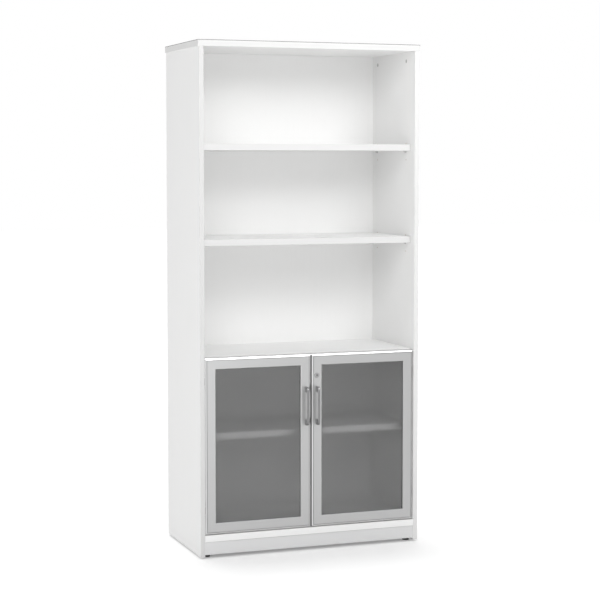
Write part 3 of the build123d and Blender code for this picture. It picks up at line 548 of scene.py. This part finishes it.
@dataclass(frozen=True)
class FrameFinish(MetalFinish):
    """Anodised frame bar: satin face, a painted highlight on its front lip, painted shade in the
    groove between, and on some bars painted shade of the door gap along the outer edge. Anodised
    frame bar: satin face, brighter front lip, dark groove between, perhaps a seal.
    """

    cross: Axis = Axis.X  # across the bar
    edge: float = 0.0  # where its outer edge and its front face are
    front: float = 0.0
    inward: float = 1.0  # which way along that axis the bar lies from its outer edge
    lip: float = 6.0 * MM
    lip_depth: float = 4.2 * MM
    # painted highlight on the bevelled front lip
    lip_highlight_colour: Colour = (0.68, 0.68, 0.682)
    groove: float = 3.0 * MM
    # painted shade in the groove
    groove_shade_colour: Colour = (0.35, 0.35, 0.351)
    # seal: width of painted shade of the door gap along the bar's outer edge
    seal: float = 0.0
    gap_shade_colour: Colour = (0.26, 0.26, 0.261)
    fade: float = 0.1 * MM

    def tinted(self, tree: ShaderTree, place: Link, brushed: Link) -> Link:
        """Paints the highlight on the lip, the shade in the groove and the shade of the door gap off
        from the face.

        Args:
            tree: the tree of the material.
            place: place of the point.
            brushed: the brushed colour of the face.

        Returns:
            The colour of the bar.
        """
        places = tree.split(place)
        inset = (places[self.cross.value] - self.edge) * self.inward
        depth = places[Axis.Y.value] - self.front
        ahead = 1.0 - depth.rise(self.lip_depth, self.lip_depth + self.fade)
        on_lip = ahead - ahead * inset.rise(self.lip - self.fade, self.lip)
        half = self.groove / 2
        beside = abs(inset - self.lip - half).rise(half + self.fade, half + 2 * self.fade)
        sunk = depth.rise(2 * self.fade, 4 * self.fade)
        in_groove = (ahead - ahead * beside) * sunk
        # painted highlight on the lip
        colour = tree.blend(on_lip, brushed, self.lip_highlight_colour)
        # painted shade in the groove
        colour = tree.blend(in_groove, colour, self.groove_shade_colour)
        # painted shade of the door gap on the bar's outer edge
        if self.seal:
            in_gap_shade = ahead - ahead * inset.rise(self.seal, self.seal + self.fade)
            colour = tree.blend(in_gap_shade, colour, self.gap_shade_colour)
        return colour


@dataclass(frozen=True)
class GlassFinish:
    """Grey satin glass with faint clouds in its etched face."""

    name: str
    colour: Colour = (0.65, 0.651, 0.652)
    roughness: float = 0.24
    index: float = 1.5
    etch: Noise = Noise(2200.0)
    clouds: Noise = Noise(6.0, 3.0)
    cloud_dark: float = 0.9
    cloud_rough: float = 0.05
    relief: float = 0.01 * MM
    relief_shown: float = 0.3

    def material(self) -> bpy.types.Material:
        """Builds the material.

        Returns:
            The tinted glass.
        """
        material, tree = new_material(self.name)
        place = tree.place()
        etch = tree.noise(place, self.etch)
        clouds = tree.noise(place, self.clouds)
        dark = tuple(self.cloud_dark * value for value in self.colour)
        inputs = {
            "Base Color": tree.blend(clouds, self.colour, dark),
            "Roughness": self.roughness + clouds.swing(self.cloud_rough),
            "Normal": tree.bump(etch, self.relief, self.relief_shown),
            "IOR": self.index,
            "Transmission Weight": 1.0,
        }
        tree.principled(inputs)
        return material


@dataclass(frozen=True)
class MouldedFinish:
    """Moulded plastic or rubber with a fine spark-eroded grain and dusty high spots."""

    name: str
    colour: Colour
    roughness: float
    pits: Noise = Noise(1100.0, 2.0, 0.6)
    clouds: Noise = Noise(35.0, 3.0)
    dust: float = 0.02
    dust_range: tuple[float, float] = (0.45, 0.9)
    dust_share: float = 0.5
    pit_rough: float = 0.15
    cloud_rough: float = 0.1
    relief: float = 0.05 * MM
    relief_shown: float = 0.5

    def material(self) -> bpy.types.Material:
        """Builds the material.

        Returns:
            The moulded material.
        """
        material, tree = new_material(self.name)
        place = tree.place()
        pits = tree.noise(place, self.pits)
        clouds = tree.noise(place, self.clouds)
        dusty = clouds.rise(*self.dust_range) * self.dust_share
        pale = tuple(value + self.dust for value in self.colour)
        inputs = {
            "Base Color": tree.blend(dusty, self.colour, pale),
            "Roughness": (
                self.roughness + pits.swing(self.pit_rough) + clouds.swing(self.cloud_rough)
            ),
            "Normal": tree.bump(pits, self.relief, self.relief_shown),
        }
        tree.principled(inputs)
        return material


@dataclass(frozen=True)
class BeechFinish:
    """Plain beech of the dowels, with short dark flecks along the grain."""

    name: str
    pale: Colour = (0.60, 0.42, 0.26)
    dark: Colour = (0.42, 0.26, 0.14)
    roughness: float = 0.55
    flecks: Noise = Noise(detail=4.0, rough=0.6)
    flecks_along: float = 160.0
    flecks_across: float = 900.0
    fleck_range: tuple[float, float] = (0.4, 0.75)
    fleck_rough: float = 0.15
    relief: float = 0.08 * MM
    relief_shown: float = 0.5

    def material(self) -> bpy.types.Material:
        """Builds the material.

        Returns:
            The wood.
        """
        material, tree = new_material(self.name)
        drawn = tree.drawn_out(tree.place(), Axis.X, self.flecks_along, self.flecks_across)
        flecks = tree.noise(drawn, self.flecks)
        inputs = {
            "Base Color": tree.blend(flecks.rise(*self.fleck_range), self.pale, self.dark),
            "Roughness": self.roughness + flecks * self.fleck_rough,
            "Normal": tree.bump(flecks, self.relief, self.relief_shown),
        }
        tree.principled(inputs)
        return material


ZINC = MetalFinish(
    "zinc plate",
    (0.58, 0.58, 0.57),
    0.32,
    Axis.Z,
    brush_tone=0.08,
    brush_rough=0.04,
    patch_rough=0.2,
    relief=0.004 * MM,
)
NICKEL = MetalFinish("satin nickel", (0.24, 0.24, 0.243), 0.28, Axis.Z)
CHROME = MetalFinish("satin chrome", (0.40, 0.40, 0.405), 0.18, Axis.X, brush_tone=0.16)
PLUG = MetalFinish("lock plug", (0.26, 0.26, 0.26), 0.34, Axis.X)
GLASS = GlassFinish("grey satin glass")
RUBBER = MouldedFinish("grey seal", (0.20, 0.20, 0.205), 0.62)
PLASTIC = MouldedFinish("black plastic", (0.014, 0.014, 0.015), 0.52)
BEECH = BeechFinish("beech")


@dataclass
class Finishes:
    """Materials that several sub-assemblies share, each built once."""

    steel: bpy.types.Material = field(default_factory=ZINC.material)
    handle: bpy.types.Material = field(default_factory=NICKEL.material)
    lock: bpy.types.Material = field(default_factory=CHROME.material)
    plug: bpy.types.Material = field(default_factory=PLUG.material)
    glass: bpy.types.Material = field(default_factory=GLASS.material)
    rubber: bpy.types.Material = field(default_factory=RUBBER.material)
    plastic: bpy.types.Material = field(default_factory=PLASTIC.material)
    beech: bpy.types.Material = field(default_factory=BEECH.material)


# Pieces of the frame


def dress(material: bpy.types.Material, *nodes: str) -> None:
    """Gives nodes of the frame their finish.

    Args:
        material: the finish.
        nodes: the nodes' names.
    """
    for node in nodes:
        piece = bpy.data.objects[node]
        if not piece.material_slots:
            piece.data.materials.append(material)
        for slot in piece.material_slots:
            slot.material = material
        LOG.info("dressed %s in %s", node, material.name)


@dataclass(frozen=True)
class Board:
    """A white board: its node, the run of its grain and how much darker its edges are, partly the
    bands' own tone and partly painted shade.
    """

    node: str
    grain: Axis
    front_tone_and_shade: float = 0.0
    end_tone_and_shade: float = 0.0
    top_line_tone: float = 0.0

    def dress(self) -> None:
        """Gives the board its own material."""
        finish = BoardFinish(
            f"white board {self.node}",
            *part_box(self.node),
            self.grain,
            band_tone_and_shade=self.front_tone_and_shade,
            end_tone_and_shade=self.end_tone_and_shade,
            top_line_tone=self.top_line_tone,
        )
        dress(finish.material(), self.node)


@dataclass
class Carcass:
    """Sides, top, bottom, deck, back, shelves and plinths, with the fittings between them."""

    # the darkening of each board's bands is partly their own tone and partly painted shade, set per
    # board by how light falls on it
    boards: tuple[Board, ...] = (
        Board("left_side_panel", Axis.Z, 0.26),
        Board("right_side_panel", Axis.Z, 0.17),
        Board("bottom_panel", Axis.X),
        Board("cupboard_deck", Axis.X, 0.20),
        Board("upper_shelf", Axis.X, 0.22),
        Board("middle_shelf", Axis.X, 0.22),
        Board("cupboard_shelf", Axis.X),
        Board("back_panel", Axis.Z),
        Board("rear_plinth", Axis.X),
        Board("top_panel", Axis.X, 0.22, 0.17, 0.85),
    )
    plinth: str = "front_plinth"
    silver: Colour = (0.70, 0.702, 0.704)
    silver_metallic: float = 0.20
    silver_roughness: float = 0.36
    silver_grain: float = 0.08
    fittings: tuple[str, ...] = (
        "shelf_pins",
        "connector_cams",
        "connector_bolts",
        "left_hinge_arms",
        "right_hinge_arms",
    )
    mouldings: tuple[str, ...] = ("corner_brackets", "magnetic_catches")

    def dress(self, finishes: Finishes) -> None:
        """Dresses the boards one by one, and the fittings.

        Args:
            finishes: the shared finishes.
        """
        for board in self.boards:
            board.dress()
        silver = BoardFinish(
            f"silver board {self.plinth}",
            *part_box(self.plinth),
            Axis.X,
            self.silver,
            self.silver_metallic,
            self.silver_roughness,
            grain_tone=self.silver_grain,
        )
        dress(silver.material(), self.plinth)
        dress(finishes.steel, *self.fittings)
        dress(finishes.plastic, *self.mouldings)
        dress(finishes.beech, "panel_dowels")


@dataclass
class Door:
    """One framed glass door with its handle and hinges."""

    side: Side
    anodised: Colour = (0.465, 0.466, 0.467)
    roughness: float = 0.36
    # width of painted shade of the door gap along the meeting stile
    meeting_gap_shade: float = 2.4 * MM
    fittings: tuple[str, ...] = ("corner_cleats", "hinge_knuckles", "hinge_pins", "strike_plate")

    def node(self, name: str) -> str:
        """Full name of one of the door's nodes."""
        return f"{self.side.value}_{name}"

    def dress(self, finishes: Finishes) -> None:
        """Dresses the frame, the glass and the fittings.

        Args:
            finishes: the shared finishes.
        """
        hung_left = self.side is Side.LEFT
        self.dress_bar("hinge_stile", Axis.X, hung_left)
        self.dress_bar("meeting_stile", Axis.X, not hung_left, self.meeting_gap_shade)
        self.dress_bar("top_rail", Axis.Z, False)
        self.dress_bar("bottom_rail", Axis.Z, True)
        dress(finishes.steel, *(self.node(name) for name in self.fittings))
        dress(finishes.glass, self.node("glass"))
        dress(finishes.rubber, self.node("gasket"))
        dress(finishes.handle, self.node("handle"))

    def dress_bar(self, name: str, cross: Axis, lip_low: bool, seal: float = 0.0) -> None:
        """Dresses one bar of the frame.

        Args:
            name: the bar.
            cross: the axis across the bar.
            lip_low: whether its lip is on the low side of that axis.
            seal: width of the painted shade of the door gap on its outer edge.
        """
        bar = self.node(name)
        low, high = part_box(bar)
        finish = FrameFinish(
            f"anodised {bar}",
            self.anodised,
            self.roughness,
            Axis.Z if cross is Axis.X else Axis.X,
            cross=cross,
            edge=(low if lip_low else high)[cross.value],
            front=low.y,
            inward=1.0 if lip_low else -1.0,
            seal=seal,
        )
        dress(finish.material(), bar)


@dataclass
class Bolt:
    """Sliding bolt that holds the left door to the deck."""

    nodes: tuple[str, ...] = ("bolt_guide", "door_bolt")

    def dress(self, finishes: Finishes) -> None:
        """Dresses the bolt and its guide."""
        dress(finishes.steel, *self.nodes)


@dataclass
class Lock:
    """Cam lock of the right door."""

    inside: tuple[str, ...] = ("lock_nut", "lock_cam")

    def dress(self, finishes: Finishes) -> None:
        """Dresses the housing, the turning plug, and what is behind the stile.

        Args:
            finishes: the shared finishes.
        """
        dress(finishes.lock, "lock_housing")
        dress(finishes.plug, "lock_plug")
        dress(finishes.steel, *self.inside)


@dataclass
class Feet:
    """Levelling feet under the corners."""

    corners: tuple[str, ...] = ("front_left", "rear_left", "front_right", "rear_right")

    def dress(self, finishes: Finishes) -> None:
        """Dresses the four feet."""
        dress(finishes.plastic, *(f"{corner}_foot" for corner in self.corners))


# Fasteners


MERGE_DIGITS = 7  # corners that agree to this many places are one


def solids_of(node: str) -> list[np.ndarray]:
    """Splits a node of loose triangles into its solids.

    Args:
        node: the node's name.

    Returns:
        The corner points of each solid, in metres.
    """
    mesh = bpy.data.objects[node].data
    points = np.array([v.co for v in mesh.vertices], float)
    _, shared = np.unique(np.round(points, MERGE_DIGITS), axis=0, return_inverse=True)
    shared = shared.ravel()
    leader = list(range(int(shared.max()) + 1))

    def head(item: int) -> int:
        """Leader of a point's group."""
        while leader[item] != item:
            leader[item] = leader[leader[item]]
            item = leader[item]
        return item

    for polygon in mesh.polygons:
        first, *others = (head(int(shared[v])) for v in polygon.vertices)
        for other in others:
            leader[head(other)] = head(first)
    groups = np.array([head(int(item)) for item in shared])
    return [points[groups == group] for group in np.unique(groups)]


@dataclass
class ScrewSet:
    """Cross-recessed pan-head screws that stand for the plain ones of the frame on one body."""

    name: str
    body: str
    nodes: tuple[str, ...]
    head_radius: float = 3.6 * MM
    crown_radius: float = 2.5 * MM
    head_height: float = 2.2 * MM
    rim_height: float = 0.9 * MM
    shank_radius: float = 2.0 * MM
    recess_length: float = 3.8 * MM
    recess_width: float = 0.9 * MM
    recess_depth: float = 1.0 * MM
    rim_share: float = 0.95  # points past this share of the head's radius are on its rim
    sides: int = 32
    slot: str = "bright_steel"

    def build(self, material: bpy.types.Material) -> bpy.types.Object:
        """Builds all screws of the body as one piece.

        Args:
            material: their finish.

        Returns:
            The piece, riding on its body.
        """
        seats = [self.seat(solid) for node in self.nodes for solid in solids_of(node)]
        points = bpy.data.meshes.new(f"{self.name}_seats")
        points.from_pydata([tuple(place) for place, _, _ in seats], [], [])
        points.attributes.new("axis", "FLOAT_VECTOR", "POINT")
        points.attributes.new("reach", "FLOAT", "POINT")
        for index, (_, direction, length) in enumerate(seats):
            points.attributes["axis"].data[index].vector = direction
            points.attributes["reach"].data[index].value = length
        carrier = bpy.data.objects.new(f"{self.name}_carrier", points)
        bpy.context.scene.collection.objects.link(carrier)
        piece = realised(carrier, screw_tree(self.sides), self.inputs(material), self.name)
        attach(piece, self.body)
        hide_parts(*self.nodes)
        LOG.info("built %s with %d screws", self.name, len(seats))
        return piece

    def inputs(self, material: bpy.types.Material) -> dict[str, object]:
        """Values of the screw tree's named inputs.

        Args:
            material: the finish of the screws.

        Returns:
            A value for each input but the points.
        """
        return {
            "Head Radius": self.head_radius,
            "Crown Radius": self.crown_radius,
            "Crown Height": self.head_height - self.rim_height,
            "Rim Height": self.rim_height,
            "Shank Radius": self.shank_radius,
            "Recess Length": self.recess_length,
            "Recess Width": self.recess_width,
            "Recess Depth": self.recess_depth,
            "Finish": material,
        }

    def seat(self, solid: np.ndarray) -> tuple[np.ndarray, np.ndarray, float]:
        """Finds where a screw of the frame sits.

        Args:
            solid: the screw's points.

        Returns:
            The middle of its seat, the way it drives, and its length under the head.
        """
        low, high = solid.min(0), solid.max(0)
        axis = int(np.argmax(high - low))
        middle = (low + high) / 2
        across = np.delete(solid - middle, axis, axis=1)
        rim = np.hypot(*across.T) > self.rim_share * self.head_radius
        head_low = solid[rim, axis].mean() < middle[axis]
        direction = np.zeros(3)
        direction[axis] = 1.0 if head_low else -1.0
        place = middle.copy()
        place[axis] = low[axis] + self.head_height if head_low else high[axis] - self.head_height
        return place, direction, float(high[axis] - low[axis] - self.head_height)


def screw_tree(sides: int) -> GeometryTree:
    """Builds the tree that sets a cross-recessed screw on every point.

    Args:
        sides: sides of the round parts.

    Returns:
        The tree. A screw's head rises along -Z from its seat and its shank runs along +Z.
    """
    sizes = ("Head Radius", "Crown Radius", "Crown Height", "Rim Height", "Shank Radius")
    sizes += ("Recess Length", "Recess Width", "Recess Depth")
    kinds = {"Geometry": "NodeSocketGeometry", **dict.fromkeys(sizes, "NodeSocketFloat")}
    tree = GeometryTree("cross_recessed_screws", {**kinds, "Finish": "NodeSocketMaterial"})
    axis = tree.attribute("axis", "FLOAT_VECTOR")
    reach = tree.attribute("reach", "FLOAT")
    turn = tree.add("FunctionNodeAlignRotationToVector", {"axis": "Z"}, {"Vector": axis})
    spot = {"Points": tree.given("Geometry"), "Rotation": turn}
    head = {**spot, "Instance": screw_head(tree, sides)}
    shank_inputs = {"Vertices": sides // 2, "Radius": tree.given("Shank Radius"), "Depth": 1.0}
    shank = tree.moved(tree.add("GeometryNodeMeshCylinder", inputs=shank_inputs), 0.5)
    stretched = {**spot, "Instance": shank, "Scale": tree.vector(1.0, 1.0, reach)}
    screws = [tree.add("GeometryNodeInstanceOnPoints", inputs=one) for one in (head, stretched)]
    joined = tree.add("GeometryNodeJoinGeometry", inputs={"Geometry": screws})
    tree.close(joined, tree.given("Finish"))
    return tree


def screw_head(tree: GeometryTree, sides: int) -> Link:
    """Adds a pan head: a straight rim under a sloped crown with a cross cut into it.

    Args:
        tree: the tree, with the sizes of the head among its inputs.
        sides: sides of the head.

    Returns:
        The head, which rises along -Z.
    """
    given = tree.given
    radius, rim_height = given("Head Radius"), given("Rim Height")
    rim_inputs = {"Vertices": sides, "Radius": radius, "Depth": rim_height}
    rim = tree.moved(tree.add("GeometryNodeMeshCylinder", inputs=rim_inputs), rim_height * -0.5)
    crown_height = given("Crown Height")
    crown_inputs = {
        "Vertices": sides,
        "Radius Top": given("Crown Radius"),
        "Radius Bottom": radius,
        "Depth": crown_height,
    }
    crown = tree.add("GeometryNodeMeshCone", inputs=crown_inputs)
    length, width = given("Recess Length"), given("Recess Width")
    deep = given("Recess Depth") * 2.0  # half of it stands above the crown
    bars = [
        tree.add("GeometryNodeMeshCube", inputs={"Size": tree.vector(x, y, deep)})
        for x, y in ((length, width), (width, length))
    ]
    cutters = [tree.moved(bar, crown_height) for bar in bars]
    settings = {"operation": "DIFFERENCE"}
    inputs = {"Mesh 1": crown, "Mesh 2": cutters}
    recessed = tree.add("GeometryNodeMeshBoolean", settings, inputs, "Mesh")
    turned_inputs = {
        "Geometry": recessed,
        "Rotation": (math.pi, 0.0, 0.0),
        "Translation": tree.vector(0.0, 0.0, rim_height * -1.0),
    }
    turned = tree.add("GeometryNodeTransform", inputs=turned_inputs)
    return tree.add("GeometryNodeJoinGeometry", inputs={"Geometry": [rim, turned]})


def realised(
    carrier: bpy.types.Object, tree: GeometryTree, inputs: dict[str, object], name: str
) -> bpy.types.Object:
    """Runs a tree on a carrier and keeps the result as a plain mesh.

    Args:
        carrier: the object with the points.
        tree: the tree.
        inputs: values of the tree's named inputs.
        name: name of the new piece.

    Returns:
        The new piece. The carrier and its modifier are gone.
    """
    modifier = carrier.modifiers.new(tree.tree.name, "NODES")
    modifier.node_group = tree.tree
    for label, value in inputs.items():
        modifier[tree.identifiers[label]] = value
    graph = bpy.context.evaluated_depsgraph_get()
    mesh = bpy.data.meshes.new_from_object(carrier.evaluated_get(graph))
    mesh.name = name
    points = carrier.data
    bpy.data.objects.remove(carrier)
    bpy.data.meshes.remove(points)
    piece = bpy.data.objects.new(name, mesh)
    bpy.context.scene.collection.objects.link(piece)
    return piece


# Studio


@dataclass(frozen=True)
class SoftBox:
    """Square soft lamp that faces the middle of the object."""

    name: str
    power: float
    place: Triple
    span: float


@dataclass(frozen=True)
class Sun:
    """Far lamp over the floor, with its lean towards the back and its width in degrees."""

    name: str
    strength: float
    tilt: float
    spread: float


@dataclass
class Studio:
    """Pale floor, soft light and the camera at the photograph's viewpoint."""

    floor_span: float = 60.0
    floor_colour: Colour = (0.92, 0.92, 0.92)
    floor_glow: float = 0.24
    ambient: float = 0.35
    suns: tuple[Sun, ...] = (Sun("overhead", 0.95, 0.0, 150.0), Sun("behind", 0.9, 6.0, 12.0))
    sun_place: Triple = (0.0, 0.0, 4.0)
    boxes: tuple[SoftBox, ...] = (
        SoftBox("key", 89.0, (-2.2, -4.6, 3.8), 2.5),
        SoftBox("fill", 28.0, (-0.6, -4.2, 0.5), 1.8),
        SoftBox("side", 25.0, (-3.6, -0.5, 0.6), 1.6),
        SoftBox("top", 29.0, (0.75, -2.2, 2.9), 1.2),
        SoftBox("back", 110.0, (2.0, 5.0, 3.0), 4.5),
    )
    box_aim: Triple = (0.0, -0.2, 1.1)
    eye: Triple = (-2.2682, -6.2108, 1.5054)
    yaw: float = 20.31
    pitch: float = 3.686
    lens: float = 100.05
    shift: float = -0.05
    sight: float = 200.0

    def build(self) -> None:
        """Builds the floor, the surroundings, the lamps and the camera."""
        lit = bpy.data.collections.new("lit by the soft boxes")
        for piece in bpy.data.objects:
            if piece.type == "MESH":
                lit.objects.link(piece)
        under = bpy.data.collections.new("lit from above")
        under.objects.link(self.floor())
        self.surroundings()
        for box in self.boxes:
            self.hang_box(box, lit)
        for sun in self.suns:
            self.hang_sun(sun, under)
        self.camera()
        bpy.context.scene.view_settings.view_transform = "Standard"
        LOG.info("lit the studio with %d lamps", len(self.boxes) + len(self.suns))

    def seen(self, tree: ShaderTree) -> Link:
        """1 for a ray from the eye or through a mirror or a pane, and 0 for other light.

        Args:
            tree: the tree of the floor or of the surroundings.

        Returns:
            The mask.
        """
        paths = tree.siblings(tree.add("ShaderNodeLightPath"))
        mirrored = paths["Is Camera Ray"].at_least(paths["Is Glossy Ray"])
        return mirrored.at_least(paths["Is Transmission Ray"])

    def floor(self) -> bpy.types.Object:
        """Wide pale floor that keeps the soft shadow.

        Returns:
            The floor.
        """
        half = self.floor_span / 2
        mesh = bpy.data.meshes.new("floor")
        corners = [(-half, -half, 0.0), (half, -half, 0.0), (half, half, 0.0), (-half, half, 0.0)]
        mesh.from_pydata(corners, [], [(0, 1, 2, 3)])
        floor = bpy.data.objects.new("floor", mesh)
        bpy.context.scene.collection.objects.link(floor)
        material, tree = new_material("pale floor")
        matt = tree.add("ShaderNodeBsdfDiffuse", inputs={"Color": (*self.floor_colour, 1.0)})
        strength = self.seen(tree) * self.floor_glow
        glow = tree.add("ShaderNodeEmission", inputs={"Strength": strength})
        both = tree.add("ShaderNodeAddShader", inputs={0: matt, 1: glow})
        tree.add("ShaderNodeOutputMaterial", inputs={"Surface": both})
        mesh.materials.append(material)
        return floor

    def surroundings(self) -> None:
        """White surroundings, dimmer where they light matt surfaces."""
        world = bpy.data.worlds.new("studio")
        world.use_nodes = True
        bpy.context.scene.world = world
        tree = ShaderTree(world.node_tree)
        level = self.ambient + self.seen(tree) * (1.0 - self.ambient)
        white = {"Color": (*WHITE, 1.0), "Strength": level}
        sky = tree.add("ShaderNodeBackground", inputs=white)
        tree.add("ShaderNodeOutputWorld", inputs={"Surface": sky})

    def hang_box(self, box: SoftBox, lit: bpy.types.Collection) -> None:
        """Hangs one soft box.

        Args:
            box: the lamp.
            lit: what it shines on.
        """
        light = bpy.data.lights.new(box.name, "AREA")
        light.energy = box.power
        light.size = box.span
        self.hang(light, box.place, Vector(box.place) - Vector(self.box_aim), lit)

    def hang_sun(self, sun: Sun, under: bpy.types.Collection) -> None:
        """Hangs one far lamp, which gives the shadow at the foot of the object.

        Args:
            sun: the lamp.
            under: what it shines on.
        """
        light = bpy.data.lights.new(sun.name, "SUN")
        light.energy = sun.strength
        light.angle = math.radians(sun.spread)
        tilt = math.radians(sun.tilt)
        self.hang(light, self.sun_place, Vector((0.0, math.sin(tilt), math.cos(tilt))), under)

    def hang(
        self, light: bpy.types.Light, place: Triple, back: Vector, lit: bpy.types.Collection
    ) -> None:
        """Hangs a lamp that the camera doesn't see.

        Args:
            light: the lamp.
            place: where it hangs.
            back: the way its back faces.
            lit: what it shines on.
        """
        holder = bpy.data.objects.new(light.name, light)
        bpy.context.scene.collection.objects.link(holder)
        holder.visible_camera = False
        holder.location = place
        holder.rotation_euler = back.to_track_quat("Z", "Y").to_euler()
        holder.light_linking.receiver_collection = lit

    def camera(self) -> None:
        """Camera at the viewpoint of the photograph."""
        lens = bpy.data.cameras.new("viewpoint")
        lens.lens = self.lens
        lens.shift_y = self.shift
        lens.clip_end = self.sight
        camera = bpy.data.objects.new("viewpoint", lens)
        bpy.context.scene.collection.objects.link(camera)
        camera.location = self.eye
        camera.rotation_euler = (math.radians(90.0 - self.pitch), 0.0, math.radians(-self.yaw))
        bpy.context.scene.camera = camera


def main() -> None:
    """Builds and dresses the bookcase, and sets up the studio."""
    logging.basicConfig(level=logging.INFO, format="%(name)s: %(message)s")
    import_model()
    finishes = Finishes()
    doors = [Door(side) for side in Side]
    for assembly in (Carcass(), *doors, Bolt(), Lock(), Feet()):
        assembly.dress(finishes)
    screws = (
        ScrewSet("case_screws", "carcass", ("hinge_screws", "bracket_screws", "catch_screws")),
        ScrewSet("left_door_screws", "left_door", ("left_handle_screws", "bolt_guide_screws")),
        ScrewSet("right_door_screws", "right_door", ("right_handle_screws",)),
        ScrewSet("lock_screw", "lock", ("lock_cam_screw",)),
    )
    for screw_set in screws:
        screw_set.build(finishes.steel)
    Studio().build()


if __name__ == "__main__":
    main()
